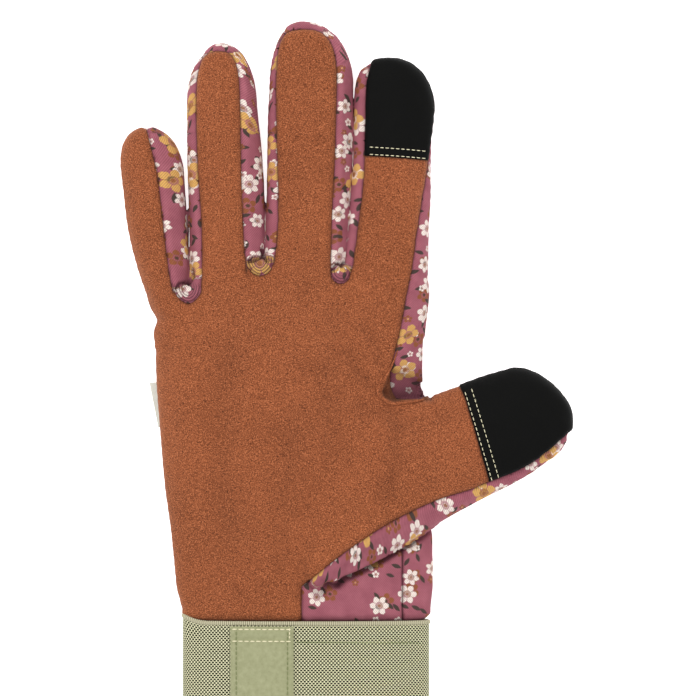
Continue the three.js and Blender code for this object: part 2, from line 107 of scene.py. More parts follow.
# Cross sections: a flat underside and rounded shoulders
FINGER_HEIGHT = 16
FINGER_FULLNESS = 2.2
THUMB_FULLNESS = 2.3
THUMB_TIP = 1.8
THUMB_TIP_SHIFT = -0.075
CUFF_FULLNESS = 2.4
UNDERSIDE_FULLNESS = 3
UNDERSIDE_OVERREACH = 1.12
WIDEST_SHARE = 0.45
TIP_WAIST = 0.42
TIP_CAP = 0.965

# Shares of each finger's own width; at runs from the crotch to the tip
FINGER_AT = (-0.22, 0, 0.22, 0.5, 0.75)
FINGER_TOP = (0.9, 1, 1, 0.98, 0.93)
FINGERS = {
    "little": {
        "width": 21.4, "length": 60.9, "lean": 6.5, "root": 0.612, "tip": 2.2,
        "left": (-0.29, -0.31, -0.44, -0.52, -0.52), "right": (0.29, 0.34, 0.4, 0.45, 0.48),
        "seam_left": (-1, -1, -1, -1, -1), "seam_right": (0.11, 0.11, 0.07, 0.07, 0.06),
        "front_end": ((1.06, -1), (1.06, -0.06)),
    },
    "ring": {
        "width": 26.8, "length": 85, "lean": 0.4, "root": 0.952, "tip": 2.1,
        "left": (-0.47, -0.48, -0.46, -0.47, -0.47), "right": (0.49, 0.51, 0.53, 0.5, 0.43),
        "seam_left": (-0.38, -0.3, -0.31, -0.36, -0.37), "seam_right": (0.32, 0.3, 0.26, 0.23, 0.22),
        "front_top": 0.972,
    },
    "middle": {
        "width": 30, "length": 89, "lean": -1.6, "root": 0.933, "tip": 2.25, "tip_shift": -0.11,
        "left": (-0.47, -0.49, -0.45, -0.44, -0.44), "right": (0.5, 0.5, 0.52, 0.55, 0.52),
        "seam_left": (-0.33, -0.34, -0.31, -0.34, -0.39), "seam_right": (0.36, 0.33, 0.33, 0.34, 0.34),
        "front_top": 0.976,
    },
    "index": {
        "width": 27.6, "length": 77.5, "lean": -0.9, "root": 1.06, "tip": 2.45, "tip_shift": -0.09,
        "left": (-0.52, -0.54, -0.49, -0.45, -0.43), "right": (0.48, 0.53, 0.53, 0.55, 0.56),
        "seam_left": (-0.41, -0.44, -0.38, -0.31, -0.31), "seam_right": (0.18, 0.31, 0.39, 0.52, 0.6),
        "front_end": ((0.9, -0.3), (1.06, -0.2), (1.06, 0.8), (0.8, 0.8)),
    },
}

# Shares of half the hand's width and of its height
HAND_ROWS = {
    "at": (0, 0.08, 0.24, 0.4, 0.56, 0.72, 0.85, 0.97),
    "left": (0.998, 1.026, 1.023, 1.032, 1.024, 1.01, 0.996, 0.995),
    "right": (1.014, 1.032, 1.025, 1.015, 0.985, 0.957, 0.968, 0.998),
    "top": (0.79, 0.8, 0.86, 0.95, 1, 0.96, 0.86, 0.75),
    "left_fullness": (2.4, 2.4, 2.4, 2.4, 2.4, 2.5, 2.6, 2.8),
    "right_fullness": (2, 1.7, 1.5, 1.5, 1.5, 1.6, 2, 2.4),
}

# Shares of the thumb's width and height; before the hand's edge, at is a share of the base's length
THUMB_ROWS = {
    "at": (-0.94, -0.72, -0.365, -0.14, 0, 0.2, 0.38, 0.6, 0.72),
    "lower": (-0.668, -0.62, -0.565, -0.52, -0.498, -0.49, -0.488, -0.457, -0.424),
    "upper": (-0.3, 0.05, 0.5, 0.64, 0.565, 0.528, 0.507, 0.473, 0.452),
    "low": (0.4, 0.36, 0.3, 0.22, 0.12, 0.03, 0, 0, 0),
    "top": (0.98, 1.1, 1.17, 1.17, 1.1, 1.03, 0.98, 0.9, 0.85),
}

# The suede's edge from the index finger down to the thumb, as (at, share of the half width)
THUMB_SIDE_SEAM = (
    (0.946, 0.848), (0.873, 0.818), (0.8, 0.778), (0.728, 0.738), (0.655, 0.746), (0.635, 0.78),
)
THUMB_UPPER_CORNER = (43, 81.5)
# The suede's edge along the thumb's underside, from its tip back to the wrist
THUMB_LOWER_SEAM = (
    (0.935, -0.295), (0.6, -0.4), (0.278, -0.386), (-0.1, -0.319),
    (-0.39, -0.329), (-0.632, -0.386), (-0.948, -0.503),
)

# Small folds, as places on the palm side, with a depth and a half width
CREASES = (
    {"line": ((26, 84), (21, 88), (15, 96)), "depth": 0.6, "half": 2.2},
    {"line": ((36, 72), (27, 75.5), (19, 79)), "depth": 0.5, "half": 3},
    {"line": ((-3, 14), (-2, 22), (1, 32)), "depth": 0.5, "half": 2.2},
    {"line": ((-8, 24), (-7, 48), (-3, 76)), "depth": 0.5, "half": 4.5},
    {"line": ((-27, 30), (-29, 62), (-26, 100)), "depth": 0.5, "half": 5},
    {"line": ((10, 62), (8, 86), (10, 112)), "depth": 0.45, "half": 4.5},
    {"line": ((46, 76), (58, 77), (68, 82)), "depth": 0.4, "half": 3},
    {"line": ((30, 77), (31, 62), (27, 48)), "depth": 0.8, "half": 3.2},
    {"line": ((27.5, 88), (25, 97), (20, 106)), "depth": 0.5, "half": 2},
)
# The mouths of the gathered webs between the fingers, sunk and darkened with painted shade, and the folds
# that run up from them
WEB_MOUTHS = (
    ((-44.4, 119.2), (-43.4, 120.8), (-41.4, 121.4), (-39.9, 121), (-38.7, 123), (-39.2, 125.5)),
    ((-19.6, 128.6), (-17.7, 128.5), (-16.1, 129.5), (-14.6, 130.2), (-13.3, 128.3)),
    ((-14.6, 130.2), (-15.1, 132.6)),
    ((9.2, 125.6), (10, 127.4), (11.2, 127.9), (12.3, 126.8), (13, 128.2)),
)
# The suede's rolled edge at the root of the thumb, as places with a half thickness
ROLLED_EDGE = (
    (31.6, 98, 0.2), (29.4, 92.3, 0.3), (26.2, 86.7, 0.4), (24.8, 84.6, 0.6), (24.9, 82.9, 0.72),
    (26.7, 81, 0.72), (30.2, 79.6, 0.5), (34.4, 79.8, 0.35), (40.6, 81, 0.28),
)
# The hollow behind the rolled edge, sunk and darkened with painted shade
POCKET = (
    (29.3, 92.1), (26.9, 85.6), (26.1, 83.8), (26.8, 82), (28.3, 80.8),
    (30.4, 80.1), (41, 81.9), (46, 84), (37, 89),
)

# Picture's frame
PHOTO_SPAN = 240.1
PHOTO_CENTRE = (14.5, 98.7)
PHOTO_PLANE = 9
CAMERA_DISTANCE = 1400
SENSOR = 36


# Curves and tables

def smooth_through(stops, values):
    """A fine table of a smooth curve through stops, without overshoot."""
    stops = np.array(stops, float)
    values = np.array(values, float)
    gaps = np.diff(stops)
    slopes = np.diff(values) / gaps
    tangents = np.concatenate(([slopes[0]], (slopes[:-1] + slopes[1:]) / 2, [slopes[-1]]))
    turning = slopes[:-1] * slopes[1:] <= 0
    tangents[1:-1][turning] = 0
    fine = np.linspace(stops[0], stops[-1], 600)
    span = np.clip(np.searchsorted(stops, fine, side="right") - 1, 0, len(gaps) - 1)
    share = (fine - stops[span]) / gaps[span]
    rise = share * share * (3 - 2 * share)
    start_bend = share * (1 - share) ** 2 * tangents[span]
    end_bend = share * share * (share - 1) * tangents[span + 1]
    table = values[span] * (1 - rise) + values[span + 1] * rise + gaps[span] * (start_bend + end_bend)
    return lambda at: np.interp(at, fine, table)


def smooth_step(low, high, value):
    share = np.clip((value - low) / (high - low), 0, 1)
    return share * share * (3 - 2 * share)


def smooth_lower(first, second, blend):
    mix = np.clip(0.5 + 0.5 * (second - first) / blend, 0, 1)
    return second + (first - second) * mix - blend * mix * (1 - mix)


def smooth_upper(first, second, blend):
    return -smooth_lower(-first, -second, blend)


def between(first, second, share):
    return first + (second - first) * share


def hump(value, half):
    """1 at zero, falling off to either side."""
    return np.exp(-(value / half) ** 2)


def halved(first, second, third, fourth):
    """Faces with four corners as pairs of triangles."""
    return np.concatenate((np.stack((first, second, third), 1), np.stack((first, third, fourth), 1)))


# Tubes: how far a point is outside a tube's skin

def section_distance(across, up, left, right, low, top, left_fullness, right_fullness):
    half = np.maximum((right - left) / 2, 0.05)
    centre = (left + right) / 2
    waist = between(low, top, WIDEST_SHARE)
    above = up >= waist
    height = np.maximum(np.where(above, top - waist, (waist - low) * UNDERSIDE_OVERREACH), 0.05)
    upper_power = np.where(across > centre, right_fullness, left_fullness)
    power = np.where(above, upper_power, UNDERSIDE_FULLNESS)
    wide = np.abs(across - centre) / half
    tall = np.abs(up - waist) / height
    size = np.maximum((wide ** power + tall ** power) ** (1 / power), 1e-6)
    reach = np.hypot(across - centre, up - waist)
    rounded = reach - reach / size
    return np.maximum(rounded, low - up)


def tapered(left, right, low, top, size, shift):
    """A section drawn in towards its middle, as it is near a tip."""
    centre = (left + right) / 2
    tip_height = between(low, top, TIP_WAIST)
    return (
        between(centre, left, size) + shift,
        between(centre, right, size) + shift,
        between(tip_height, low, np.sqrt(size)),
        between(tip_height, top, np.sqrt(size)),
    )


class Finger:
    def __init__(self, name, edge, root_y):
        rows = FINGERS[name]
        self.width = rows["width"]
        self.length = rows["length"]
        self.lean = math.tan(math.radians(rows["lean"]))
        self.tip = rows["tip"]
        self.tip_shift = rows.get("tip_shift", 0) * self.width
        self.front_end = rows.get("front_end")
        self.front_top = rows.get("front_top")
        self.right_edge = edge + self.width * rows["root"]
        self.root_x = (edge + self.right_edge) / 2
        self.root_y = root_y
        self.left = smooth_through(FINGER_AT, rows["left"])
        self.right = smooth_through(FINGER_AT, rows["right"])
        self.seam_left = smooth_through(FINGER_AT, rows["seam_left"])
        self.seam_right = smooth_through(FINGER_AT, rows["seam_right"])
        self.top = smooth_through(FINGER_AT, FINGER_TOP)

    def place(self, at, across):
        return (
            self.root_x - at * self.length * self.lean + across * self.width,
            self.root_y + at * self.length,
        )

    def local(self, x, y):
        along = y - self.root_y
        return x - self.root_x + along * self.lean, along / self.length

    def section(self, at):
        last = FINGER_AT[-1]
        step = np.clip((at - last) / (1 - last), 0, 1)
        size = (1 - step ** self.tip) ** (1 / self.tip)
        left = self.left(at) * self.width
        right = self.right(at) * self.width
        top = self.top(at) * FINGER_HEIGHT
        return tapered(left, right, 0, top, size, self.tip_shift * step ** 2)

    def front_tip(self):
        """The end of the suede front: corners that lie beyond the tip, or a round top just short of it."""
        if self.front_end:
            return [self.place(at, across) for at, across in self.front_end]
        last = FINGER_AT[-1]
        left, right = float(self.seam_left(last)), float(self.seam_right(last))
        turns = np.radians(np.linspace(174, 6, 15))
        swing = np.sign(np.cos(turns)) * np.abs(np.cos(turns)) ** 0.6
        across = (left + right) / 2 + (right - left) / 2 * swing
        at = last + (self.front_top - last) * np.sin(turns) ** 0.6
        across = across + 0.6 * self.tip_shift / self.width * ((at - last) / (1 - last)) ** 2
        return [self.place(*point) for point in zip(at, across)]

    def distance(self, x, y, z):
        across, at = self.local(x, y)
        left, right, low, top = self.section(at)
        beyond = (at - 1) * self.length
        before = (FINGER_AT[0] - at) * self.length
        side = section_distance(across, z, left, right, low, top, FINGER_FULLNESS, FINGER_FULLNESS)
        return np.maximum(side, np.maximum(beyond, before))


def make_fingers():
    first, second, third = CROTCH_HEIGHTS
    heights = (first, (first + second) / 2, (second + third) / 2, third)
    fingers = []
    edge = -KNUCKLE_LEFT
    for name, root_y in zip(FINGERS, heights):
        fingers.append(Finger(name, edge, root_y))
        edge = fingers[-1].right_edge
    return fingers


fingers = make_fingers()
little, ring, middle, index = fingers
knuckle_right = index.right_edge
crotches = tuple((finger.right_edge, height) for finger, height in zip(fingers, CROTCH_HEIGHTS))

knuckle_height = smooth_through(
    (-KNUCKLE_LEFT - 8, -KNUCKLE_LEFT, *(x for x, _ in crotches), knuckle_right, knuckle_right + 8),
    (
        CROTCH_HEIGHTS[0] - CROTCH_WEB - 3, CROTCH_HEIGHTS[0] - CROTCH_WEB,
        *(height + CROTCH_WEB for height in CROTCH_HEIGHTS),
        CROTCH_HEIGHTS[2], CROTCH_HEIGHTS[2] - 3,
    ),
)
hand_columns = {key: smooth_through(HAND_ROWS["at"], HAND_ROWS[key]) for key in HAND_ROWS if key != "at"}


def hand_half_width(at):
    return between(CUFF_WIDTH / 2, (KNUCKLE_LEFT + knuckle_right) / 2, at)


def hand_centre(at):
    return between(0, (knuckle_right - KNUCKLE_LEFT) / 2, at)


def on_hand(at, across):
    x = hand_centre(at) + across * hand_half_width(at)
    return x, float(between(HAND_START, knuckle_height(x), at))


def hand_distance(x, y, z):
    """The hand, drawn in at the wrist to pass inside the cuff."""
    end = knuckle_height(x)
    at = np.clip((y - HAND_START) / (end - HAND_START), 0, 1)
    columns = {key: column(at) for key, column in hand_columns.items()}
    left = hand_centre(at) - columns["left"] * hand_half_width(at)
    right = hand_centre(at) + columns["right"] * hand_half_width(at)
    top = columns["top"] * HAND_HEIGHT
    drawn = smooth_step(7.6, 3.4, y)
    inset = CUFF_WALL + 0.9
    left = between(left, -CUFF_WIDTH / 2 + inset, drawn)
    right = between(right, CUFF_WIDTH / 2 - inset, drawn)
    top = between(top, CUFF_HEIGHT - inset, drawn)
    low = between(0, inset, drawn)
    side = section_distance(x, z, left, right, low, top, columns["left_fullness"], columns["right_fullness"])
    return np.maximum(smooth_upper(side, y - end, 5), -HAND_TUCK - 2 - y)


def thumb_stop(at):
    return at * (THUMB_BASE if at < 0 else THUMB_LENGTH)


thumb_stops = [thumb_stop(at) for at in THUMB_ROWS["at"]]
thumb_columns = {key: smooth_through(thumb_stops, THUMB_ROWS[key]) for key in THUMB_ROWS if key != "at"}


def on_thumb(along, across):
    cosine, sine = math.cos(THUMB_ANGLE), math.sin(THUMB_ANGLE)
    return THUMB_ROOT[0] + along * cosine - across * sine, THUMB_ROOT[1] + along * sine + across * cosine


def thumb_local(x, y):
    cosine, sine = math.cos(THUMB_ANGLE), math.sin(THUMB_ANGLE)
    right, ahead = x - THUMB_ROOT[0], y - THUMB_ROOT[1]
    return right * cosine + ahead * sine, ahead * cosine - right * sine


def thumb_section(along):
    last = thumb_stops[-1]
    step = np.clip((along - last) / (THUMB_LENGTH - last), 0, 1)
    size = (1 - step ** THUMB_TIP) ** (1 / THUMB_TIP)
    shift = THUMB_TIP_SHIFT * THUMB_WIDTH * step ** 2
    left = thumb_columns["lower"](along) * THUMB_WIDTH
    right = thumb_columns["upper"](along) * THUMB_WIDTH
    low = thumb_columns["low"](along) * THUMB_HEIGHT
    top = thumb_columns["top"](along) * THUMB_HEIGHT
    return tapered(left, right, low, top, size, shift)


def thumb_distance(x, y, z):
    along, across = thumb_local(x, y)
    left, right, low, top = thumb_section(along)
    side = section_distance(across, z, left, right, low, top, THUMB_FULLNESS, THUMB_FULLNESS)
    return np.maximum(smooth_upper(side, thumb_stops[0] - along, 6), along - THUMB_LENGTH)


def hand_and_fingers(x, y, z):
    hand = hand_distance(x, y, z)
    whole = hand
    for finger in fingers:
        whole = np.minimum(whole, smooth_lower(hand, finger.distance(x, y, z), 3))
    return whole


def past_thumb(x, y, z):
    """Below zero where the thumb is nearer than the hand and the fingers."""
    return thumb_distance(x, y, z) - hand_and_fingers(x, y, z)


def dented(x, y):
    """The little finger's side is pushed in where it meets the hand."""
    dent = 1.1 * hump(y - 102, 7) + 1.7 * hump(y - 108.3, 3)
    return x - dent * smooth_step(-36, -47, x)


def glove_distance(x, y, z):
    x = dented(x, y)
    rest = hand_and_fingers(x, y, z)
    thumb = thumb_distance(x, y, z)
    _, across = thumb_local(x, y)
    blend = between(1.2, 5, smooth_step(-0.45 * THUMB_WIDTH, 0.1 * THUMB_WIDTH, across))
    return smooth_upper(smooth_lower(rest, thumb, blend), -z, 0.8)


# The skin as a mesh

def sample_grid():
    low, high = np.array(SKIN_LOW), np.array(SKIN_HIGH)
    counts = np.ceil((high - low) / GRID_STEP).astype(int) + 1
    axes = [low[side] + GRID_STEP * np.arange(counts[side]) for side in range(3)]
    values = np.empty(counts)
    for column in range(counts[0]):
        x = np.full((counts[1], counts[2]), axes[0][column])
        y, z = np.meshgrid(axes[1], axes[2], indexing="ij")
        values[column] = glove_distance(x, y, z)
    return low, values


def net_over(low, values):
    """One point in each grid cell that the skin passes through, joined across the cells' edges."""
    corners = [(i, j, k) for i in (0, 1) for j in (0, 1) for k in (0, 1)]
    edges = [
        (a, b) for a in range(8) for b in range(a + 1, 8)
        if sum(abs(p - q) for p, q in zip(corners[a], corners[b])) == 1
    ]
    shape = [size - 1 for size in values.shape]
    inside = values < 0
    parts = [inside[i:i + shape[0], j:j + shape[1], k:k + shape[2]] for i, j, k in corners]
    total = sum(part.astype(np.int8) for part in parts)
    cells = np.argwhere((total > 0) & (total < 8))
    places = np.zeros((len(cells), 3))
    crossings = np.zeros(len(cells))
    for a, b in edges:
        first, second = np.array(corners[a]), np.array(corners[b])
        start = values[tuple((cells + first).T)]
        stop = values[tuple((cells + second).T)]
        crossed = (start < 0) != (stop < 0)
        share = np.where(crossed, start / np.where(crossed, start - stop, 1), 0)
        places += crossed[:, None] * (first + share[:, None] * (second - first))
        crossings += crossed
    points = low + GRID_STEP * (cells + places / crossings[:, None])
    number = np.full(shape, -1, np.int64)
    number[tuple(cells.T)] = np.arange(len(cells))
    faces = []
    for axis in range(3):
        ahead = [slice(None)] * 3
        behind = [slice(None)] * 3
        ahead[axis], behind[axis] = slice(1, None), slice(None, -1)
        start, stop = inside[tuple(behind)], inside[tuple(ahead)]
        crossed = np.argwhere(start != stop)
        second, third = (axis + 1) % 3, (axis + 2) % 3
        step_two, step_three = np.eye(3, dtype=int)[second], np.eye(3, dtype=int)[third]
        corners_round = [crossed, crossed - step_two, crossed - step_two - step_three, crossed - step_three]
        quads = np.stack([number[tuple(corner.T)] for corner in corners_round], axis=1)
        outward = start[tuple(crossed.T)]
        quads[~outward] = quads[~outward][:, ::-1]
        faces.append(quads)
    quads = np.concatenate(faces)
    return points, halved(*quads.T)


def settled(points, rounds=3):
    """Points moved along the slope until they lie on the skin."""
    nudge = 0.02
    for _ in range(rounds):
        x, y, z = points.T
        here = glove_distance(x, y, z)
        slope = np.stack((
            glove_distance(x + nudge, y, z) - here,
            glove_distance(x, y + nudge, z) - here,
            glove_distance(x, y, z + nudge) - here,
        ), axis=1) / nudge
        steep = np.maximum((slope ** 2).sum(axis=1), 0.2)
        shift = slope * (here / steep)[:, None]
        length = np.maximum(np.linalg.norm(shift, axis=1), 1e-9)
        points = points - shift * np.minimum(1, 0.5 * GRID_STEP / length)[:, None]
    return points


def evened(points, faces, rounds=2):
    """Points drawn towards their neighbours' middle, so that the triangles are even."""
    for _ in range(rounds):
        total = np.zeros_like(points)
        count = np.zeros(len(points))
        for a, b in ((0, 1), (1, 2), (2, 0)):
            for first, second in ((faces[:, a], faces[:, b]), (faces[:, b], faces[:, a])):
                np.add.at(total, first, points[second])
                np.add.at(count, first, 1)
        points = settled(between(points, total / np.maximum(count, 1)[:, None], 0.5), 1)
    return points


def normals_of(points, faces):
    first, second, third = (points[faces[:, corner]] for corner in range(3))
    facing = np.cross(second - first, third - first)
    total = np.zeros_like(points)
    for corner in range(3):
        np.add.at(total, faces[:, corner], facing)
    return total / np.maximum(np.linalg.norm(total, axis=1), 1e-12)[:, None]


# Panels, cut from the skin along the seams

def polygon_distance(x, y, outline):
    """Distance to a closed outline, below zero inside, and how far round the nearest place is."""
    nearest = np.full(x.shape, 1e9)
    round_at = np.zeros(x.shape)
    inside = np.zeros(x.shape, bool)
    travelled = 0.0
    for (x0, y0), (x1, y1) in zip(outline, np.roll(outline, -1, axis=0)):
        run, rise = x1 - x0, y1 - y0
        length = math.hypot(run, rise)
        share = np.clip(((x - x0) * run + (y - y0) * rise) / max(length * length, 1e-9), 0, 1)
        gap = np.hypot(x - x0 - share * run, y - y0 - share * rise)
        closer = gap < nearest
        nearest = np.where(closer, gap, nearest)
        round_at = np.where(closer, travelled + share * length, round_at)
        if rise != 0:
            crosses = (y0 > y) != (y1 > y)
            inside ^= crosses & (x < x0 + (y - y0) * run / rise)
        travelled += length
    return np.where(inside, -nearest, nearest), round_at


def line_distance(x, y, line):
    nearest = np.full(x.shape, 1e9)
    for (x0, y0), (x1, y1) in zip(line[:-1], line[1:]):
        run, rise = x1 - x0, y1 - y0
        share = np.clip(((x - x0) * run + (y - y0) * rise) / (run * run + rise * rise), 0, 1)
        nearest = np.minimum(nearest, np.hypot(x - x0 - share * run, y - y0 - share * rise))
    return nearest


def height_at(surface, x, y):
    """The height of a surface's upper side, or None beside it."""
    hit = surface.ray_cast(Vector((x, y, RAY_START)), Vector((0, 0, -1)))[0]
    return None if hit is None else hit.z


def curve_through(points, count):
    """A smooth line through a few points."""
    points = np.array(points, float)
    lengths = np.concatenate(([0], np.cumsum(np.hypot(*np.diff(points, axis=0).T))))
    at = np.linspace(0, lengths[-1], count)
    return np.stack([smooth_through(lengths, points[:, side])(at) for side in range(2)], axis=1)


def crotch_circle(order):
    """Centre and radius of the round bottom of the seam between two fingers."""
    left, right = fingers[order], fingers[order + 1]
    start = left.place(0, float(left.seam_right(0)))[0]
    stop = right.place(0, float(right.seam_left(0)))[0]
    radius = (stop - start) / 2
    return (start + stop) / 2, CROTCH_HEIGHTS[order] + radius, radius


def palm_outline():
    beyond = 12
    outline = [(-KNUCKLE_LEFT - beyond, -HAND_TUCK - beyond), (-KNUCKLE_LEFT - beyond, CROTCH_HEIGHTS[0])]
    for order, finger in enumerate(fingers):
        rows = np.linspace(0.06, 0.75, 12)
        if order > 0:
            outline += [finger.place(at, float(finger.seam_left(at))) for at in rows]
        outline += finger.front_tip()
        outline += [finger.place(at, float(finger.seam_right(at))) for at in rows[::-1]]
        if order < len(crotches):
            x, y, radius = crotch_circle(order)
            turns = np.radians(np.linspace(180, 360, 15))
            for turn in turns:
                narrowed = 1 - CROTCH_POINTS[order] * abs(math.sin(turn)) ** 1.5
                outline.append((x + radius * math.cos(turn) * narrowed, y + radius * math.sin(turn)))
    side = [on_hand(at, across) for at, across in THUMB_SIDE_SEAM]
    outline += [tuple(point) for point in curve_through(side, 16)]
    outline.append(THUMB_UPPER_CORNER)
    for along in np.linspace(0.2 * THUMB_LENGTH, 0.72 * THUMB_LENGTH, 6):
        outline.append(on_thumb(along, float(thumb_columns["upper"](along)) * THUMB_WIDTH + 2.5))
    outline.append(on_thumb(THUMB_LENGTH + beyond, THUMB_WIDTH / 2))
    outline.append(on_thumb(THUMB_LENGTH + beyond, THUMB_LOWER_SEAM[0][1] * THUMB_WIDTH))
    lower = [on_thumb(thumb_stop(at), across * THUMB_WIDTH) for at, across in THUMB_LOWER_SEAM]
    outline += [tuple(point) for point in curve_through(lower, 24)]
    outline.append((outline[-1][0], -HAND_TUCK - beyond))
    return np.array(outline)


def index_patch_outline():
    low = 1 - INDEX_PATCH / index.length
    corners = ((low + 0.012, -0.45), (low - 0.003, 0.1), (low - 0.024, 1), (1.28, 1), (1.28, -0.45))
    return np.array([index.place(at, across) for at, across in corners])


def thumb_patch_outline():
    start = THUMB_LENGTH - THUMB_PATCH
    end = THUMB_LENGTH + 24
    corners = (
        (start - PATCH_SLANT, -THUMB_WIDTH / 2), (end, -THUMB_WIDTH / 2), (end, THUMB_WIDTH),
        (start + PATCH_SLANT, THUMB_WIDTH), (start + PATCH_SLANT, THUMB_WIDTH * 0.4),
    )
    return np.array([on_thumb(along, across) for along, across in corners])


def fourchette_outline(order):
    left, right = fingers[order], fingers[order + 1]
    height = CROTCH_HEIGHTS[order]
    return np.array((
        (left.root_x, height), (right.root_x, height), right.place(1.5, 0), left.place(1.5, 0),
    ))


PALM_OUTLINE = palm_outline()
INDEX_PATCH_OUTLINE = index_patch_outline()
THUMB_PATCH_OUTLINE = thumb_patch_outline()


class Skin:
    """The skin's points, which the panels share, so that they meet all along the seams."""

    def __init__(self, points):
        self.points = points

    def split(self, faces, side):
        """Faces cut where side is zero: those below it and those above it."""
        side = np.where(np.abs(side) < 1e-3, 1e-3, side)
        above = side[faces] > 0
        count = above.sum(axis=1)
        mixed = (count == 1) | (count == 2)
        lone_is_above = count[mixed] == 1
        lone = np.where(lone_is_above[:, None], above[mixed], ~above[mixed])
        turn = (lone.argmax(axis=1)[:, None] + np.arange(3)) % 3
        tip, second, third = np.take_along_axis(faces[mixed], turn, axis=1).T
        pairs = np.sort(np.concatenate((np.stack((tip, second), 1), np.stack((tip, third), 1))), axis=1)
        pairs, slots = np.unique(pairs, axis=0, return_inverse=True)
        slots = slots.reshape(-1)
        start, stop = side[pairs[:, 0]], side[pairs[:, 1]]
        share = (start / (start - stop))[:, None]
        fresh = between(self.points[pairs[:, 0]], self.points[pairs[:, 1]], share)
        to_second = len(self.points) + slots[:len(tip)]
        to_third = len(self.points) + slots[len(tip):]
        self.points = np.concatenate((self.points, fresh))
        tips = np.stack((tip, to_second, to_third), 1)
        rests = halved(to_second, second, third, to_third)
        doubled = np.concatenate((lone_is_above, lone_is_above))
        low = np.concatenate((faces[count == 0], tips[~lone_is_above], rests[doubled]))
        high = np.concatenate((faces[count == 3], tips[lone_is_above], rests[~doubled]))
        return low, high

    def split_by(self, faces, side_of):
        """As split, with the side worked out only where the faces are."""
        used = np.unique(faces)
        side = np.zeros(len(self.points))
        side[used] = side_of(*self.points[used].T)
        return self.split(faces, side)


def side_seam_height(x, y):
    """The seam round the edge dips at the tips of the fingers and the thumb."""
    along, _ = thumb_local(x, y)
    near_tip = smooth_step(0.7, 0.95, along / THUMB_LENGTH)
    for finger in fingers:
        across, at = finger.local(x, y)
        near_tip = np.maximum(near_tip, smooth_step(0.75, 0.97, at) * (np.abs(across) < 0.7 * finger.width))
    return SIDE_SEAM_HEIGHT - TIP_SEAM_DROP * near_tip


def front_side(x, y, z):
    return np.maximum(polygon_distance(x, y, PALM_OUTLINE)[0], side_seam_height(x, y) - z)


def fourchette_side(order):
    outline = fourchette_outline(order)
    return lambda x, y, z: np.maximum(polygon_distance(x, y, outline)[0], BACK_SEAM_HEIGHT - z)


def gusset_side(x, y, z):
    sides = (x - GUSSET_SEAM_X, -CUFF_WIDTH / 4 - x, y - THUMB_ROOT[1], SIDE_SEAM_HEIGHT - z)
    return np.maximum.reduce(sides)


def cut_panels(skin, faces):
    panels = {}
    _, faces = skin.split_by(faces, lambda x, y, z: y + HAND_TUCK - 0.6)
    front, rest = skin.split_by(faces, front_side)
    panels["index_tip_patch"], front = skin.split_by(
        front, lambda x, y, z: polygon_distance(x, y, INDEX_PATCH_OUTLINE)[0])
    panels["thumb_tip_patch"], panels["palm_panel"] = skin.split_by(
        front, lambda x, y, z: polygon_distance(x, y, THUMB_PATCH_OUTLINE)[0])
    names = ("fourchette_little_ring", "fourchette_ring_middle", "fourchette_middle_index")
    for order, name in enumerate(names):
        panels[name], rest = skin.split_by(rest, fourchette_side(order))
    panels["thumb_back"], rest = skin.split_by(rest, past_thumb)
    panels["thumb_gusset"], panels["hand_back"] = skin.split_by(rest, gusset_side)
    return panels


# Relief: grooves at the seams, puckers, pleats and soft folds

def wavy(x, y, z, waves):
    total = 0
    for along_x, along_y, along_z, phase, depth in waves:
        total = total + depth * np.sin(along_x * x + along_y * y + along_z * z + phase)
    return total


def draw_waves(seed, count, shortest, longest, depth):
    draw = np.random.default_rng(seed)
    waves = []
    for _ in range(count):
        length = draw.uniform(shortest, longest)
        heading = draw.normal(size=3)
        heading *= TAU / length / np.linalg.norm(heading)
        waves.append((*heading, draw.uniform(0, TAU), depth * math.sqrt(2 / count)))
    return waves


BROAD_WAVES = draw_waves(3, 14, 16, 42, 0.26)
FINE_WAVES = draw_waves(8, 18, 4, 9, 0.07)
PUCKER_PITCH = 3.4


def seam_relief(x, y, z):
    edge, round_at = polygon_distance(x, y, PALM_OUTLINE)
    front = np.maximum(edge, side_seam_height(x, y) - z)
    groove = -0.85 * hump(front, 0.8)
    swell = 0.3 * hump(np.abs(front) - 2.1, 1.2)
    beat = np.sin(TAU * round_at / PUCKER_PITCH + 2.2 * np.sin(round_at / 7.3))
    pucker = 0.16 * beat * np.exp(-np.abs(front) / 1.9)
    return groove + swell + pucker * smooth_step(0.2, 0.9, np.abs(front))


def patch_relief(x, y, z):
    total = 0
    front = smooth_step(0, -0.5, front_side(x, y, z))
    for outline in (INDEX_PATCH_OUTLINE, THUMB_PATCH_OUTLINE):
        edge = polygon_distance(x, y, outline)[0]
        total = total + front * PATCH_STEP * smooth_step(0, -0.6, edge)
        total = total - front * 0.18 * hump(edge - 0.3, 0.6) * (edge > 0)
    return total


def pleats_of(x, y, z):
    """Gathered pleats in the webs: the distance that they repeat over, and how strong they are."""
    phase = np.zeros(x.shape)
    amount = np.zeros(x.shape)
    upper = (z > SIDE_SEAM_HEIGHT) * (front_side(x, y, z) > 0)
    for order in range(3):
        centre_x, centre_y, radius = crotch_circle(order)
        away = np.hypot(x - centre_x, (y - centre_y - 1) * 0.85)
        below = smooth_step(centre_y + 3, centre_y + 1.5, y)
        here = below * smooth_step(radius + 1.6, radius + 0.6, away) * upper
        phase = np.where(here > 0, away + 0.1 * np.sin(x * 1.3), phase)
        amount = np.maximum(amount, here * smooth_step(0.8, 2, away))
    return phase, amount


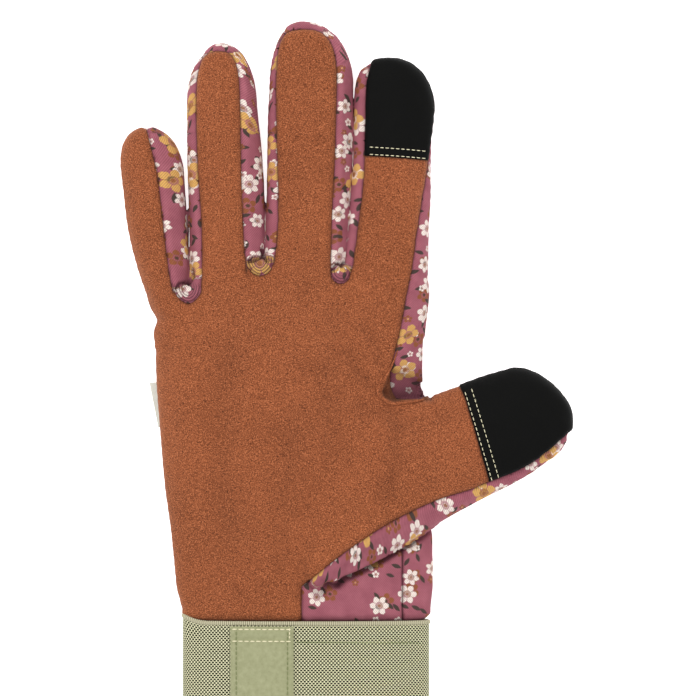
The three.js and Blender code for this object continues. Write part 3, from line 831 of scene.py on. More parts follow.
def thumb_fold_relief(x, y, z):
    """The thumb's lower strip folds over the gusset, and the gusset has a seam of its own."""
    side = past_thumb(x, y, z)
    along, across = thumb_local(x, y)
    lower = smooth_step(0, -8, across) * smooth_step(10, 0, along)
    lower = lower * smooth_step(-1.2, 0.2, front_side(x, y, z))
    lower = lower * between(0.45, 1, smooth_step(-57, -47, along))
    crumple = 0.7 * np.sin(along * 0.9) * smooth_step(-38, -52, along)
    tuck = -3 * hump(side - 0.6 - crumple, 1.05) + 0.8 * hump(side + 1.8 - crumple, 1.2)
    seam = -0.9 * hump(x - GUSSET_SEAM_X, 0.55) * (side > 0) * (y < GUSSET_SEAM_END) * (z > SIDE_SEAM_HEIGHT)
    return tuck * lower + seam


def mouth_depth(x, y, z):
    """How far into the mouths of the webs, from 0 to 1."""
    nearest = np.full(x.shape, 1e9)
    for line in WEB_MOUTHS:
        nearest = np.minimum(nearest, line_distance(x, y, line))
    return hump(nearest, 0.5) * (z > SIDE_SEAM_HEIGHT) * (front_side(x, y, z) > 0)


def pocket_relief(x, y, z):
    """The pocket sinks inside its outline, and its lower left rim is rolled."""
    edge = polygon_distance(x, y, np.array(POCKET))[0]
    rim = smooth_step(33, 29, x) * smooth_step(90, 86, y) * (x < 33)
    sunk = -2.4 * smooth_step(0.1, -1.3, edge)
    rolled = 0.5 * rim * hump(edge - 1, 0.6) * (edge > 0)
    return (z > SIDE_SEAM_HEIGHT) * (sunk + rolled)


def crease_relief(x, y, z):
    total = 0
    for crease in CREASES:
        away = line_distance(x, y, curve_through(crease["line"], 20))
        total = total - crease["depth"] * hump(away, crease["half"]) * (z > SIDE_SEAM_HEIGHT)
    return total


def relief(points, normals):
    x, y, z = points.T
    resting = smooth_step(0.5, 5, z)
    soft = wavy(x, y * 0.6, z, BROAD_WAVES) + wavy(x, y, z, FINE_WAVES)
    inside_cuff = smooth_step(2, 10, y)
    calm = between(0.25, 1, np.clip(normals[:, 2], 0, 1))
    total = (soft * calm + crease_relief(x, y, z)) * resting * inside_cuff
    total = total + seam_relief(x, y, z) + patch_relief(x, y, z)
    total = total + thumb_fold_relief(x, y, z) + pocket_relief(x, y, z) - 1.2 * mouth_depth(x, y, z)
    moved = points + normals * total[:, None]
    moved[:, 2] = np.maximum(moved[:, 2], GROUND_GAP)
    return moved


def seams_and_painted_shade_of(points):
    """Dark seam lines, then painted shade under the thumb's fold, in the pocket, on the strip beside the
    thumb, in the creases, in the webs' mouths and under the suede's edge at the cuff; then the pleats' phase
    and strength.
    """
    x, y, z = points.T
    upper = z > SIDE_SEAM_HEIGHT
    front = front_side(x, y, z)
    seam = 0.62 * hump(front, 0.25)
    for outline in (INDEX_PATCH_OUTLINE, THUMB_PATCH_OUTLINE):
        edge = polygon_distance(x, y, outline)[0]
        seam = np.maximum(seam, hump(edge, 0.35) * upper * (front < -0.1))
    gusset = hump(x - GUSSET_SEAM_X, 0.35) * (y < GUSSET_SEAM_END) * upper
    gusset = gusset * (past_thumb(x, y, z) > 0)
    # Painted shadow on the gusset under the thumb's folded strip
    fold = 0.85 * np.clip(-0.34 * thumb_fold_relief(x, y, z), 0, 1) ** 1.5
    # Painted shade in the pocket at the root of the thumb, darkest low down
    edge = polygon_distance(x, y, np.array(POCKET))[0]
    pocket = between(0.3, 0.78, smooth_step(90, 82.5, y)) * smooth_step(0.2, -0.5, edge) * upper
    # Painted shadow on the floral strip that the thumb shades
    strip = 0.6 * smooth_step(97, 84, y) * (x > 28) * (x < 46) * (y > 76)
    # Painted shade in the creases
    creases = np.clip(-0.22 * crease_relief(x, y, z), 0, 0.4)
    # Painted shadow under the suede's edge at the cuff
    at_cuff = 0.8 * smooth_step(5.7, 5.1, y)
    # Seam lines are dark joins; fold, pocket, strip, creases, the webs' mouths and the cuff's edge are
    # painted shade
    dark = np.maximum.reduce((
        seam, 0.75 * gusset, fold, pocket, strip * (front > 0), creases, 0.9 * mouth_depth(x, y, z), at_cuff,
    ))
    return np.stack((dark, *pleats_of(x, y, z)), axis=1)


# Cloth coordinates, unrolled round each tube from the middle of its underside

def unrolled(across, up, left, right, low, top):
    centre = (left + right) / 2
    half = (right - left) / 2
    waist = between(low, top, WIDEST_SHARE)
    turn = np.arctan2((up - waist) / np.maximum((top - low) / 2, 1), (across - centre) / np.maximum(half, 1))
    from_below = (turn + math.pi / 2 + math.pi) % TAU - math.pi
    steps = np.linspace(-math.pi, math.pi, 181)
    mean_half = float(np.mean(half))
    mean_height = float(np.mean(top - low)) / 2
    curve_x = np.sign(np.sin(steps)) * np.abs(np.sin(steps)) ** 0.8 * mean_half
    curve_z = -np.sign(np.cos(steps)) * np.abs(np.cos(steps)) ** 0.8 * mean_height
    lengths = np.concatenate(([0], np.cumsum(np.hypot(np.diff(curve_x), np.diff(curve_z)))))
    lengths -= lengths[90]
    return centre + np.interp(from_below, steps, lengths)


def cloth_of(points):
    x, y, z = points.T
    at = np.clip((y - HAND_START) / (knuckle_height(x) - HAND_START), 0, 1)
    left = hand_centre(at) - hand_half_width(at)
    right = hand_centre(at) + hand_half_width(at)
    top = hand_columns["top"](at) * HAND_HEIGHT
    u = unrolled(x, z, left, right, 0 * top, top)
    v = y.copy()
    nearest = hand_distance(x, y, z)
    for finger in fingers:
        near = finger.distance(x, y, z)
        across, at = finger.local(x, y)
        left, right, low, top = finger.section(np.clip(at, -0.2, 0.9))
        own = unrolled(across, z, left, right, low, top) + x - across
        middle = unrolled(0 * across, top, left, right, low, top) + x
        capped = at > TIP_CAP
        closer = near < nearest
        u = np.where(closer, np.where(capped, middle, own), u)
        v = np.where(closer & capped, y + top - z, v)
        nearest = np.where(closer, near, nearest)
    along, across = thumb_local(x, y)
    left, right, low, top = thumb_section(np.clip(along, -60, 45))
    own = unrolled(across, z, left, right, low, top)
    closer = thumb_distance(x, y, z) < nearest
    u, v = np.where(closer, own + 31, u), np.where(closer, along + 17, v)
    off_thumb = thumb_distance(x, y, z) > hand_distance(x, y, z) - 1
    flat = off_thumb & (z > SIDE_SEAM_HEIGHT) & (y < THUMB_ROOT[1]) & (x > -5)
    u, v = np.where(flat, x + 2, u), np.where(flat, y + 1.5, v)
    upper = (z > SIDE_SEAM_HEIGHT) & (front_side(x, y, z) > -0.01)
    for order in range(3):
        centre_x, centre_y, radius = crotch_circle(order)
        mouth = centre_y + 0.8 + 1.6 * hump(x - centre_x + 0.3, 2.2)
        web = upper & (y < mouth) & (y > centre_y - 12) & (np.abs(x - centre_x) < radius + 1)
        beside = upper & (np.abs(y - centre_y - 1.5) < 0.6) & (x > centre_x + 1) & (x < centre_x + radius)
        shift = float(np.median((u - x)[beside])) if beside.any() else 0
        u = np.where(web, x + shift, u)
    return np.stack((u, v), axis=1)


# Meshes in the scene

def add_vectors(mesh, name, vectors):
    mesh.attributes.new(name, "FLOAT_VECTOR", "POINT").data.foreach_set("vector", vectors.ravel())


def mesh_object(name, points, faces, material, cloth=None, seams_and_painted_shade=None):
    mesh = bpy.data.meshes.new(name)
    mesh.from_pydata((np.asarray(points) * MM).tolist(), [], np.asarray(faces).tolist())
    if cloth is not None:
        add_vectors(mesh, "cloth", np.column_stack((cloth, np.zeros(len(cloth)))))
    if seams_and_painted_shade is not None:
        add_vectors(mesh, "seams_and_painted_shade", seams_and_painted_shade)
    mesh.polygons.foreach_set("use_smooth", [True] * len(mesh.polygons))
    mesh.materials.append(material)
    thing = bpy.data.objects.new(name, mesh)
    bpy.context.scene.collection.objects.link(thing)
    return thing


def with_back(faces, count):
    """A sheet's faces, those of the same sheet behind it and the rim between them."""
    starts = np.concatenate((faces[:, [0, 1]], faces[:, [1, 2]], faces[:, [2, 0]]))
    keys = starts[:, 0] * count + starts[:, 1]
    backs = starts[:, 1] * count + starts[:, 0]
    a, b = starts[~np.isin(keys, backs)].T
    return np.concatenate((faces, faces[:, ::-1] + count, halved(b, a, a + count, b + count)))


def slab(x, y, low, high):
    """A closed sheet between two heights over a grid of places."""
    rows, columns = x.shape
    upper = np.stack((x, y, high), axis=-1).reshape(-1, 3)
    lower = np.stack((x, y, low), axis=-1).reshape(-1, 3)
    row, column = np.meshgrid(np.arange(rows - 1), np.arange(columns - 1), indexing="ij")
    here = (row * columns + column).ravel()
    faces = halved(here, here + columns, here + columns + 1, here + 1)
    return np.concatenate((upper, lower)), with_back(faces, rows * columns)


def walled(points, normals, faces, wall):
    """A closed thin wall under an open skin: the skin, its inner face and the rim between them."""
    used, compact = np.unique(faces, return_inverse=True)
    faces = compact.reshape(-1, 3)
    outer = points[used]
    inner = outer - normals[used] * wall
    return np.concatenate((outer, inner)), with_back(faces, len(used)), used


def tube_mesh(path, radius, sides):
    """A round cord through a path's points."""
    path = np.asarray(path, float)
    ahead = np.gradient(path, axis=0)
    ahead /= np.maximum(np.linalg.norm(ahead, axis=1), 1e-9)[:, None]
    up = np.array((0.0, 0.0, 1.0))
    side = np.cross(ahead, up)
    side /= np.maximum(np.linalg.norm(side, axis=1), 1e-9)[:, None]
    above = np.cross(side, ahead)
    radii = np.broadcast_to(radius, len(path))
    points = []
    for place, out, high, size in zip(path, side, above, radii):
        for turn in np.arange(sides) * TAU / sides:
            points.append(place + size * (math.cos(turn) * out + math.sin(turn) * high))
    faces = []
    for row in range(len(path) - 1):
        for corner in range(sides):
            following = (corner + 1) % sides
            low, high = row * sides, (row + 1) * sides
            faces.append((low + corner, high + corner, high + following))
            faces.append((low + corner, high + following, low + following))
    first, last = len(points), len(points) + 1
    points += [path[0], path[-1]]
    end = (len(path) - 1) * sides
    for corner in range(sides):
        following = (corner + 1) % sides
        faces.append((first, corner, following))
        faces.append((last, end + following, end + corner))
    return np.array(points), np.array(faces)


def gathered(meshes):
    points, faces, start = [], [], 0
    for some_points, some_faces in meshes:
        points.append(some_points)
        faces.append(np.asarray(some_faces) + start)
        start += len(some_points)
    return np.concatenate(points), np.concatenate(faces)


def add_piece(name, mesh, material, node, stands_for=True):
    """A piece of the glove, from its points and faces and then its places in the cloth and its seam lines
    and painted shade, if any.
    """
    points, faces, *layers = mesh
    thing = mesh_object(name, points, faces, material, *layers)
    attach(thing, "root")
    if stands_for:
        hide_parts(node)


# Materials

class Look:
    """A material and short ways to add and join its nodes."""

    def __init__(self, name, roughness):
        self.material = bpy.data.materials.new(name)
        self.material.use_nodes = True
        self.tree = self.material.node_tree
        self.shader = self.tree.nodes["Principled BSDF"]
        self.shader.inputs["Roughness"].default_value = roughness
        self.shader.inputs["Specular IOR Level"].default_value = 0.25

    def node(self, kind, inputs=None, **settings):
        made = self.tree.nodes.new(kind)
        for key, value in settings.items():
            setattr(made, key, value)
        for key, value in (inputs or {}).items():
            self.put(made.inputs[key], value)
        return made

    def put(self, socket, value):
        if isinstance(value, bpy.types.NodeSocket):
            self.tree.links.new(value, socket)
        else:
            socket.default_value = value

    def math(self, operation, *values):
        made = self.node("ShaderNodeMath", operation=operation)
        for place, value in enumerate(values):
            self.put(made.inputs[place], value)
        return made.outputs[0]

    def times(self, first, second):
        return self.math("MULTIPLY", first, second)

    def plus(self, first, second):
        return self.math("ADD", first, second)

    def minus(self, first, second):
        return self.math("SUBTRACT", first, second)

    def over(self, first, second):
        return self.math("DIVIDE", first, second)

    def parts(self, vector):
        return self.node("ShaderNodeSeparateXYZ", {"Vector": vector}).outputs

    def paint(self, tone):
        self.put(self.shader.inputs["Base Color"], tone)

    def ramp(self, value, low, high):
        inputs = {"Value": value, "From Min": low, "From Max": high}
        return self.node("ShaderNodeMapRange", inputs, clamp=True).outputs["Result"]

    def mix(self, share, first, second):
        made = self.node("ShaderNodeMix", data_type="RGBA")
        self.put(made.inputs["Factor"], share)
        self.put(made.inputs[6], first)
        self.put(made.inputs[7], second)
        return made.outputs[2]

    def seams_and_painted_shade(self):
        """Seam lines and painted shade, the pleats' phase and the pleats' strength."""
        vector = self.node("ShaderNodeAttribute", attribute_name="seams_and_painted_shade").outputs["Vector"]
        return self.parts(vector)

    def cloth(self):
        return self.node("ShaderNodeAttribute", attribute_name="cloth").outputs["Vector"]

    def place(self):
        scale = self.node("ShaderNodeVectorMath", operation="SCALE")
        self.put(scale.inputs[0], self.node("ShaderNodeTexCoord").outputs["Object"])
        scale.inputs["Scale"].default_value = 1 / MM
        return scale.outputs[0]

    def noise(self, place, length, detail=3.0, roughness=0.55):
        inputs = {"Vector": place, "Scale": 1 / length, "Detail": detail, "Roughness": roughness}
        return self.node("ShaderNodeTexNoise", inputs).outputs["Fac"]

    def bump(self, height, depth, strength=1.0):
        inputs = {"Height": height, "Distance": depth * MM, "Strength": strength}
        self.put(self.shader.inputs["Normal"], self.node("ShaderNodeBump", inputs).outputs["Normal"])


def colour(red, green, blue):
    """A colour as seen on a screen, from 0 to 255, as light."""
    shares = [value / 255 for value in (red, green, blue)]
    light = [share / 12.92 if share <= 0.04045 else ((share + 0.055) / 1.055) ** 2.4 for share in shares]
    return (*light, 1)


def suede_look():
    look = Look("suede", 0.95)
    place = look.place()
    speckle = look.noise(place, 0.36, 2.0, 0.6)
    cloud = look.noise(place, 22, 3.0, 0.6)
    streak = look.noise(place, 1.6, 3.0, 0.6)
    base = look.mix(look.ramp(cloud, 0.3, 0.7), colour(127, 67, 37), colour(144, 78, 45))
    base = look.mix(look.times(look.ramp(streak, 0.5, 0.75), 0.3), base, colour(156, 88, 54))
    base = look.mix(look.ramp(speckle, 0.53, 0.66), base, colour(188, 112, 72))
    base = look.mix(look.ramp(speckle, 0.47, 0.34), base, colour(74, 35, 17))
    # Seam lines and painted shade darken the suede
    look.paint(look.mix(look.seams_and_painted_shade()[0], base, colour(56, 26, 14)))
    look.shader.inputs["Sheen Weight"].default_value = 0.12
    look.shader.inputs["Sheen Roughness"].default_value = 0.6
    look.shader.inputs["Sheen Tint"].default_value = colour(235, 180, 140)
    look.bump(look.plus(speckle, streak), 0.28, 0.8)
    return look.material


def scattered(look, cloth, cell, seed):
    """Places spread over the cloth: the way from each to here, and three random numbers for each."""
    moved = look.node("ShaderNodeVectorMath", operation="ADD")
    look.put(moved.inputs[0], cloth)
    moved.inputs[1].default_value = (seed * 13.7, seed * 7.1, 0)
    inputs = {"Vector": moved.outputs[0], "Scale": 1 / cell, "Randomness": 0.72}
    cells = look.node("ShaderNodeTexVoronoi", inputs, voronoi_dimensions="2D", feature="F1")
    away = look.node("ShaderNodeVectorMath", operation="SUBTRACT")
    look.put(away.inputs[0], moved.outputs[0])
    look.put(away.inputs[1], cells.outputs["Position"])
    chance = look.node("ShaderNodeSeparateColor")
    look.put(chance.inputs[0], cells.outputs["Color"])
    return away.outputs[0], chance.outputs


def turned(look, vector, share):
    inputs = {"Vector": vector, "Angle": look.times(share, TAU)}
    made = look.node("ShaderNodeVectorRotate", inputs, rotation_type="Z_AXIS")
    x, y, _ = look.parts(made.outputs[0])
    return x, y


def flowers(look, ground, cloth, ragged, cell, seed, radius, petals, petal, heart, amount):
    away, chance = scattered(look, cloth, cell, seed)
    x, y = turned(look, away, chance[1])
    reach = look.math("SQRT", look.plus(look.times(x, x), look.times(y, y)))
    reach = look.plus(reach, look.times(look.minus(ragged, 0.5), 0.3 * radius))
    turn = look.times(look.math("ARCTAN2", y, x), petals / 2)
    lobes = look.math("ABSOLUTE", look.math("COSINE", turn))
    size = look.times(look.plus(look.times(chance[2], 0.35), 0.82), radius)
    edge = look.times(size, look.plus(look.times(lobes, 0.36), 0.64))
    there = look.math("LESS_THAN", chance[0], amount)
    shape = look.times(look.ramp(look.minus(edge, reach), -0.06, 0.2), there)
    ring_away = look.math("ABSOLUTE", look.minus(look.over(reach, size), 0.3))
    ring_shape = look.times(look.ramp(ring_away, 0.14, 0.04), 0.75)
    gap = look.times(look.ramp(lobes, 0.26, 0.04), 0.8)
    broken = look.times(look.ramp(ragged, 0.6, 0.72), 0.5)
    opened = look.math("MAXIMUM", look.math("MAXIMUM", ring_shape, gap), broken)
    painted = look.mix(opened, petal, ground)
    centre_shape = look.times(look.ramp(look.over(reach, size), 0.24, 0.14), 0.9)
    return look.mix(shape, ground, look.mix(centre_shape, painted, heart))


def leaves(look, ground, cloth, cell, seed, length, width, tone, amount):
    away, chance = scattered(look, cloth, cell, seed)
    x, y = turned(look, away, chance[1])
    spread = look.times(look.math("ABSOLUTE", x), 2 / length)
    wide = look.times(look.minus(1.0, look.times(spread, spread)), width / 2)
    there = look.math("LESS_THAN", chance[0], amount)
    shape = look.times(look.ramp(look.minus(wide, look.math("ABSOLUTE", y)), 0, 0.2), there)
    return look.mix(shape, ground, tone)


def twill_look():
    look = Look("flowered_twill", 0.9)
    cloth = look.cloth()
    u, v, _ = look.parts(cloth)
    slope = look.plus(u, look.times(v, 0.8))
    ridge = look.math("SINE", look.times(slope, TAU / 0.7))
    cloud = look.noise(cloth, 6, 3.0, 0.6)
    ragged = look.noise(cloth, 0.8, 3.0, 0.65)
    ground = look.mix(look.ramp(cloud, 0.3, 0.7), colour(148, 82, 94), colour(168, 98, 110))
    white, mustard = colour(238, 224, 214), colour(212, 164, 92)
    ochre, dark = colour(142, 84, 50), colour(62, 56, 48)
    ground = flowers(look, ground, cloth, ragged, 9.5, 5, 2.6, 5, ochre, dark, 0.72)
    ground = leaves(look, ground, cloth, 5.4, 1, 3.4, 1.45, dark, 0.62)
    ground = leaves(look, ground, cloth, 7.3, 2, 3.9, 1.6, dark, 0.5)
    ground = flowers(look, ground, cloth, ragged, 8.1, 3, 1.3, 5, white, ochre, 0.45)
    ground = flowers(look, ground, cloth, ragged, 8.9, 4, 1.3, 5, ochre, mustard, 0.5)
    ground = flowers(look, ground, cloth, ragged, 10.6, 6, 3, 6, white, ochre, 0.85)
    ground = flowers(look, ground, cloth, ragged, 14.5, 7, 4.1, 5, mustard, ochre, 0.5)
    shade = look.times(look.ramp(ridge, 0.4, -1.0), 0.38)
    ground = look.mix(shade, ground, colour(96, 48, 60))
    painted_shade_and_seam_share, phase, strength = look.seams_and_painted_shade()
    # The pleats' valleys get painted shade; the pleats also drive the bump
    pleat = look.math("SINE", look.times(phase, TAU / 0.82))
    painted_valley_shade = look.times(look.ramp(pleat, 0.1, -0.9), strength)
    ground = look.mix(look.times(painted_valley_shade, 0.75), ground, colour(78, 44, 50))
    # Seam lines and painted shade darken the print
    look.paint(look.mix(painted_shade_and_seam_share, ground, colour(50, 18, 26)))
    relief = look.plus(look.times(ridge, 0.3), look.times(pleat, strength))
    look.bump(relief, 0.25, 0.7)
    return look.material


def patch_look():
    look = Look("touch_patch", 0.75)
    look.shader.inputs["Specular IOR Level"].default_value = 0.06
    place = look.place()
    grain = look.noise(place, 0.35, 3.0, 0.6)
    look.paint(look.mix(grain, colour(9, 9, 9), colour(17, 17, 16)))
    look.bump(grain, 0.05, 0.6)
    return look.material


def knit_look():
    look = Look("elastic_knit", 0.88)
    look.shader.inputs["Specular IOR Level"].default_value = 0.1
    u, v, _ = look.parts(look.cloth())
    pitch, row_height = 1.22, 0.64
    row = look.over(v, row_height)
    odd = look.math("MODULO", look.math("FLOOR", look.plus(row, 2000.0)), 2.0)
    column = look.plus(look.over(u, pitch), look.times(odd, 0.5))
    x, y = (
        look.times(look.minus(look.math("FRACT", look.plus(count, 2000.0)), 0.5), 2.0)
        for count in (column, row)
    )
    away = look.plus(look.times(x, look.times(x, 1.9)), look.times(y, y))
    ragged = look.noise(look.cloth(), 0.5, 2.0)
    away = look.plus(away, look.times(look.minus(ragged, 0.5), 0.7))
    hole = look.ramp(away, 1.0, 0.62)
    loop = look.ramp(away, 1.1, 1.6)
    tone = look.mix(loop, colour(156, 156, 120), colour(234, 231, 194))
    look.paint(look.mix(hole, tone, colour(17, 19, 5)))
    look.bump(look.minus(1.0, hole), 0.25, 0.8)
    return look.material


def ribbed_look():
    look = Look("cuff_selvedge", 0.9)
    along = look.parts(look.cloth())[0]
    rib = look.math("SINE", look.times(along, TAU / SELVEDGE_RIB))
    tone = look.mix(look.ramp(rib, -0.7, 0.7), colour(132, 128, 102), colour(196, 190, 162))
    look.paint(tone)
    look.bump(look.noise(look.place(), 0.3), 0.08, 0.6)
    return look.material


def plain_look(name, tone, other, grain_length, roughness=0.9):
    look = Look(name, roughness)
    grain = look.noise(look.place(), grain_length, 4.0, 0.6)
    look.paint(look.mix(look.ramp(grain, 0.3, 0.7), tone, other))
    look.bump(grain, 0.12, 0.6)
    return look.material


# The cuff, its rolled edge and its tab

def lip(x):
    """The cuff's upper edge rides up at the little finger's side."""
    return 2.4 * np.clip(1 - (x + CUFF_WIDTH / 2) / 9, 0, 1) ** 2


def cuff_section(offset):
    """Points round the cuff, with the distance travelled, from the middle of its underside."""
    left, right = -CUFF_WIDTH / 2 - offset, CUFF_WIDTH / 2 + offset
    low, top = -offset, CUFF_HEIGHT + offset
    waist = between(low, top, WIDEST_SHARE)
    turns = np.linspace(-math.pi / 2, 3 * math.pi / 2, 1441)
    power = np.where(np.sin(turns) >= 0, CUFF_FULLNESS, UNDERSIDE_FULLNESS)
    across = np.sign(np.cos(turns)) * np.abs(np.cos(turns)) ** (2 / power)
    up = np.sign(np.sin(turns)) * np.abs(np.sin(turns)) ** (2 / power)
    height = np.where(np.sin(turns) >= 0, top - waist, (waist - low) * UNDERSIDE_OVERREACH)
    x = between(left, right, 0.5 + across / 2)
    z = np.maximum(waist + up * height, low)
    travelled = np.concatenate(([0], np.cumsum(np.hypot(np.diff(x), np.diff(z)))))
    return x, z, travelled


def even_ring(offset, count):
    x, z, travelled = cuff_section(offset)
    at = travelled[-1] * np.arange(count) / count
    return np.interp(at, travelled, x), np.interp(at, travelled, z), at


def ring_faces(rows, columns):
    """Faces of a grid that closes on itself both ways."""
    row, column = np.meshgrid(np.arange(rows), np.arange(columns), indexing="ij")
    corners = (
        ((row + down) % rows * columns + (column + along) % columns).ravel()
        for down, along in ((0, 0), (0, 1), (1, 1), (1, 0))
    )
    return halved(*corners)


def cuff_body():
    columns = 300
    stations = np.linspace(SELVEDGE_AT - 0.1, -CUFF_LENGTH, 84)
    rows, cloth = [], []
    for offset, order in ((0, 1), (-CUFF_WALL, -1)):
        x, z, at = even_ring(offset, columns)
        for y in stations[::order]:
            ripple = 0.14 * np.sin(y * 1.05 + 0.8 * np.sin(at / 11)) * (z > 2) * (offset == 0)
            lifted = y + lip(x) * smooth_step(-3, SELVEDGE_AT - 0.1, y)
            rows.append(np.stack((x, lifted, z + ripple), axis=1))
            cloth.append(np.stack((at, np.full(columns, y)), axis=1))
    return np.concatenate(rows), ring_faces(len(rows), columns), np.concatenate(cloth)


def cuff_roll():
    """The ribbed, rolled edge where the cuff meets the hand."""
    columns, around = 1230, 12
    x, z, at = even_ring(-0.3, columns)
    rib = 0.1 * np.sin(TAU * at / SELVEDGE_RIB)
    centre = np.array((0.0, CUFF_HEIGHT * WIDEST_SHARE))
    outward = np.stack((x - centre[0], z - centre[1]), axis=1)
    along = np.stack((np.roll(x, -1) - np.roll(x, 1), np.roll(z, -1) - np.roll(z, 1)), axis=1)
    normal = np.stack((along[:, 1], -along[:, 0]), axis=1)
    normal /= np.linalg.norm(normal, axis=1)[:, None]
    normal *= np.sign((normal * outward).sum(axis=1))[:, None]
    rows = []
    for turn in np.arange(around) * TAU / around:
        height = (CUFF_ROLL + rib) * math.sin(turn)
        ahead = SELVEDGE_HALF * math.cos(turn)
        points = np.stack((
            x + normal[:, 0] * height, SELVEDGE_AT + ahead + lip(x), z + normal[:, 1] * height,
        ), axis=1)
        points[:, 2] = np.maximum(points[:, 2], GROUND_GAP)
        rows.append(points)
    cloth = np.concatenate([np.stack((at, np.full(columns, 5.0 * row)), axis=1) for row in range(around)])
    return np.concatenate(rows), ring_faces(around, columns), cloth


def cuff_height_at(x):
    ring_x, ring_z, _ = cuff_section(0)
    upper = ring_z > CUFF_HEIGHT / 2
    order = np.argsort(ring_x[upper])
    return np.interp(x, ring_x[upper][order], ring_z[upper][order])


def tab_mesh():
    """A strip with soft edges that lies over the cuff's upper side."""
    across = np.linspace(-0.5, 0.5, 60)
    along = np.linspace(0, 1, 150)
    x = TAB_CENTRE + across[None, :] * TAB_WIDTH
    y = TAB_TOP - along[:, None] * (CUFF_LENGTH + TAB_TOP)
    x, y = np.broadcast_arrays(x, y)
    from_side = (0.5 - np.abs(across[None, :])) * TAB_WIDTH
    from_end = np.minimum(TAB_TOP - y, y + CUFF_LENGTH)
    edge = np.minimum(from_side, from_end)
    over_roll = 0.25 * smooth_step(-1.2, 0.6, y)
    sewn = -0.3 * hump(np.abs(x - TAB_CENTRE) - TAB_WIDTH / 2 + 2.1, 0.5)
    soft = 0.12 * np.sin(x * 0.9 + y * 0.23) + 0.1 * np.sin(y * 0.61 + 1)
    swell = 0.55 * smooth_step(0, 1.2, edge)
    base = cuff_height_at(x) + 0.15 + over_roll
    top = base + 0.45 + swell + (sewn + soft) * smooth_step(0, 1.5, edge)
    return slab(x, y, base, top)


def label_mesh():
    """A small blank fold of tape that stands out of the side seam."""
    at = (LABEL_PLACE - HAND_START) / (CROTCH_HEIGHTS[0] - HAND_START)
    edge = on_hand(at, -1.0)[0] + 0.4
    rows, columns = 24, 10
    share_y = np.linspace(0, 1, rows)[:, None]
    share_x = np.linspace(0, 1, columns)[None, :]
    reach = between(LABEL_REACH, 0.2, share_y) + 0.4
    x = edge - share_x * reach
    y = LABEL_PLACE - share_y * LABEL_LENGTH - share_x * 0.3
    z = SIDE_SEAM_HEIGHT + 0.25 * np.sin(share_y * 5) - 0.5 * share_x
    x, y, z = np.broadcast_arrays(x, y, z)
    return slab(x, y, z - LABEL_HALF, z + LABEL_HALF)


# Stitches, laid on whatever surface is under them

def stitch_row(surface, start, stop, pitch, length, radius):
    """Short thread ends between two places, each sunk into the cloth at its ends."""
    start, stop = np.array(start, float), np.array(stop, float)
    way = stop - start
    distance = np.hypot(*way)
    ahead = way / distance
    meshes = []
    for order in range(int(distance / pitch)):
        middle_at = (order + 0.5) * pitch
        path = []
        for share in np.linspace(-0.5, 0.5, 6):
            x, y = start + ahead * (middle_at + share * length)
            height = height_at(surface, x, y)
            if height is None:
                break
            path.append((x, y, height + radius * (0.75 - 3.2 * share * share)))
        if len(path) == 6:
            meshes.append(tube_mesh(path, radius * np.array((0.5, 0.9, 1, 1, 0.9, 0.5)), 6))
    return meshes


def rolled_edge(surface):
    """The suede turned over on itself, laid just outside the pocket at the root of the thumb."""
    line = curve_through([place[:2] for place in ROLLED_EDGE], 70)
    share = np.linspace(0, 1, len(line))
    radius = np.interp(share, np.linspace(0, 1, len(ROLLED_EDGE)), [place[2] for place in ROLLED_EDGE])
    path = []
    height = HAND_HEIGHT * 0.8
    for (x, y), size in zip(line, radius):
        found = height_at(surface, x - 0.9, y - 0.7)
        height = height if found is None else found
        path.append((x, y, height - 0.1 * size))
    path = np.array(path)
    path[2:-2, 2] = np.convolve(path[:, 2], np.ones(5) / 5, "valid")
    return tube_mesh(path, radius, 10)


# Build everything

def build_skin():
    low, values = sample_grid()
    points, faces = net_over(low, values)
    points = evened(settled(points), faces)
    skin = Skin(points)
    panels = cut_panels(skin, faces)
    everything = np.concatenate(list(panels.values()))
    normals = normals_of(skin.points, everything)
    cloth, seams_and_painted_shade = cloth_of(skin.points), seams_and_painted_shade_of(skin.points)
    points = relief(skin.points, normals)
    return points, normals_of(points, everything), panels, cloth, seams_and_painted_shade


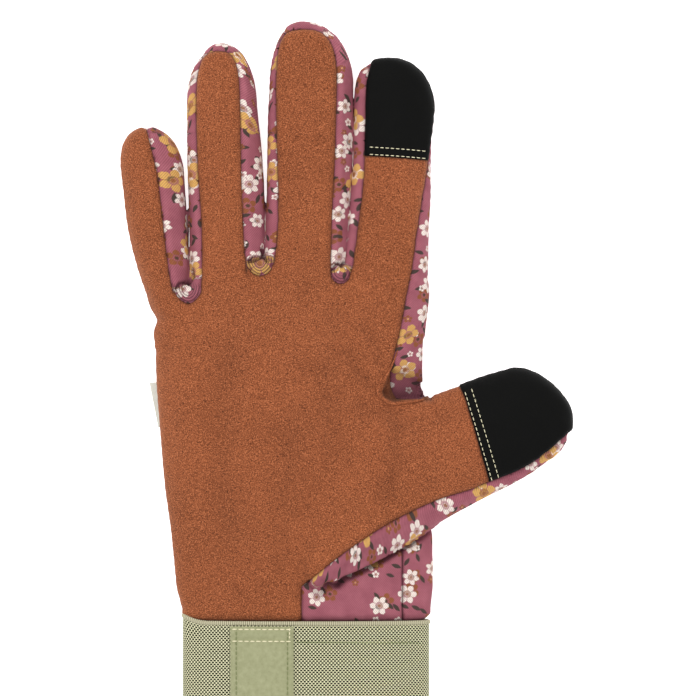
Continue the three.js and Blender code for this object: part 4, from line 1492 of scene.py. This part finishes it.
def build_glove():
    looks = {
        "suede": suede_look(),
        "flowered_twill": twill_look(),
        "touch_patch": patch_look(),
        "elastic_knit": knit_look(),
        "cuff_strip": plain_look("cuff_strip", colour(142, 143, 108), colour(158, 159, 124), 1.6),
        "label_tape": plain_look("label_tape", colour(204, 204, 194), colour(216, 216, 206), 0.5),
        "pale_thread": plain_look("pale_thread", colour(218, 210, 174), colour(232, 226, 192), 0.3),
        "tonal_thread": plain_look("tonal_thread", colour(118, 124, 84), colour(140, 146, 104), 0.3),
    }
    slots = {"palm_panel": "suede", "index_tip_patch": "touch_patch", "thumb_tip_patch": "touch_patch"}
    points, normals, panels, cloth, seams_and_painted_shade = build_skin()
    for name, faces in panels.items():
        slot = slots.get(name, "flowered_twill")
        some_points, some_faces, used = walled(points, normals, faces, CLOTH_WALL)
        both = np.concatenate((used, used))
        mesh = some_points, some_faces, cloth[both], seams_and_painted_shade[both]
        add_piece(name + "_cloth", mesh, looks[slot], name)

    body, tab = cuff_body(), tab_mesh()
    add_piece("cuff_knit", body, looks["elastic_knit"], "cuff")
    add_piece("cuff_selvedge", cuff_roll(), ribbed_look(), "cuff", False)
    add_piece("cuff_tab_strip", tab, looks["cuff_strip"], "cuff_tab")
    add_piece("side_label_tape", label_mesh(), looks["label_tape"], "side_label")

    front = np.concatenate([panels[name] for name in ("palm_panel", "index_tip_patch", "thumb_tip_patch")])
    surface = BVHTree.FromPolygons(points.tolist(), front.tolist())
    add_piece("palm_panel_rolled_edge", rolled_edge(surface), looks["suede"], "palm_panel", False)
    tab_surface = BVHTree.FromPolygons(*(part.tolist() for part in tab))
    low = 1 - INDEX_PATCH / index.length
    start = THUMB_LENGTH - THUMB_PATCH
    patch_rows = []
    for inset in (1.1, 3.6):
        left = index.place(low + inset / index.length, -0.3)
        right = index.place(low - 0.02 + inset / index.length, 0.5)
        patch_rows += stitch_row(surface, left, right, *PATCH_STITCH)
        bottom = on_thumb(start - PATCH_SLANT * 0.8 + inset, -0.38 * THUMB_WIDTH)
        top = on_thumb(start + PATCH_SLANT * 0.9 + inset, 0.46 * THUMB_WIDTH)
        patch_rows += stitch_row(surface, bottom, top, *PATCH_STITCH)
    pale, tonal = looks["pale_thread"], looks["tonal_thread"]
    add_piece("patch_stitches", gathered(patch_rows), pale, "index_tip_patch", False)
    half = TAB_WIDTH / 2
    left, right = TAB_CENTRE - half, TAB_CENTRE + half
    tab_rows = stitch_row(tab_surface, (right - 1.4, 2.9), (right - 1.4, -1.4), *TAB_CORNER_STITCH)
    for y in (2.3, -1.8):
        tab_rows += stitch_row(tab_surface, (left + 0.5, y), (right - 0.5, y), *TAB_END_STITCH)
    add_piece("tab_stitches", gathered(tab_rows), pale, "cuff_tab", False)
    side_rows = []
    for x in (left + 2.1, right - 2.1):
        side_rows += stitch_row(tab_surface, (x, 1.7), (x, -CUFF_LENGTH + 1), *TAB_SIDE_STITCH)
    add_piece("tab_side_stitches", gathered(side_rows), tonal, "cuff_tab", False)
    knit_surface = BVHTree.FromPolygons(*(part.tolist() for part in body[:2]))
    knit_row = stitch_row(knit_surface, (right + 0.6, -2.1), (CUFF_WIDTH / 2 - 3, -2.6), *KNIT_STITCH)
    add_piece("cuff_stitches", gathered(knit_row), tonal, "cuff", False)


def build_stage():
    bpy.ops.mesh.primitive_plane_add(size=6, location=(0, 0, -0.0002))
    floor = bpy.context.object
    floor.name = "floor"
    look = Look("floor", 0.9)
    look.shader.inputs["Base Color"].default_value = (0.9, 0.9, 0.9, 1)
    look.shader.inputs["Emission Color"].default_value = (1, 1, 1, 1)
    look.shader.inputs["Emission Strength"].default_value = 0.75
    floor.data.materials.append(look.material)

    world = bpy.data.worlds.new("studio")
    bpy.context.scene.world = world
    world.use_nodes = True
    world.node_tree.nodes["Background"].inputs["Color"].default_value = (1, 1, 1, 1)
    world.node_tree.nodes["Background"].inputs["Strength"].default_value = 0.75
    centre = Vector((0.015, 0.08, 0))
    lights = (((-0.55, 0.75, 1.3), 0.9, 13), ((0.8, -0.2, 1.2), 0.9, 5))
    for order, (place, size, power) in enumerate(lights):
        light = bpy.data.lights.new(f"soft_light_{order}", "AREA")
        light.size = size
        light.energy = power
        lamp = bpy.data.objects.new(light.name, light)
        lamp.location = place
        lamp.rotation_euler = (centre - Vector(place)).to_track_quat("-Z", "Y").to_euler()
        bpy.context.scene.collection.objects.link(lamp)

    camera = bpy.data.cameras.new("camera")
    camera.sensor_width = SENSOR
    camera.lens = SENSOR * CAMERA_DISTANCE / PHOTO_SPAN
    camera.clip_end = 20
    view = bpy.data.objects.new("camera", camera)
    view.location = Vector((*PHOTO_CENTRE, CAMERA_DISTANCE + PHOTO_PLANE)) * MM
    bpy.context.scene.collection.objects.link(view)
    bpy.context.scene.camera = view
    bpy.context.scene.view_settings.view_transform = "Standard"


build_glove()
build_stage()
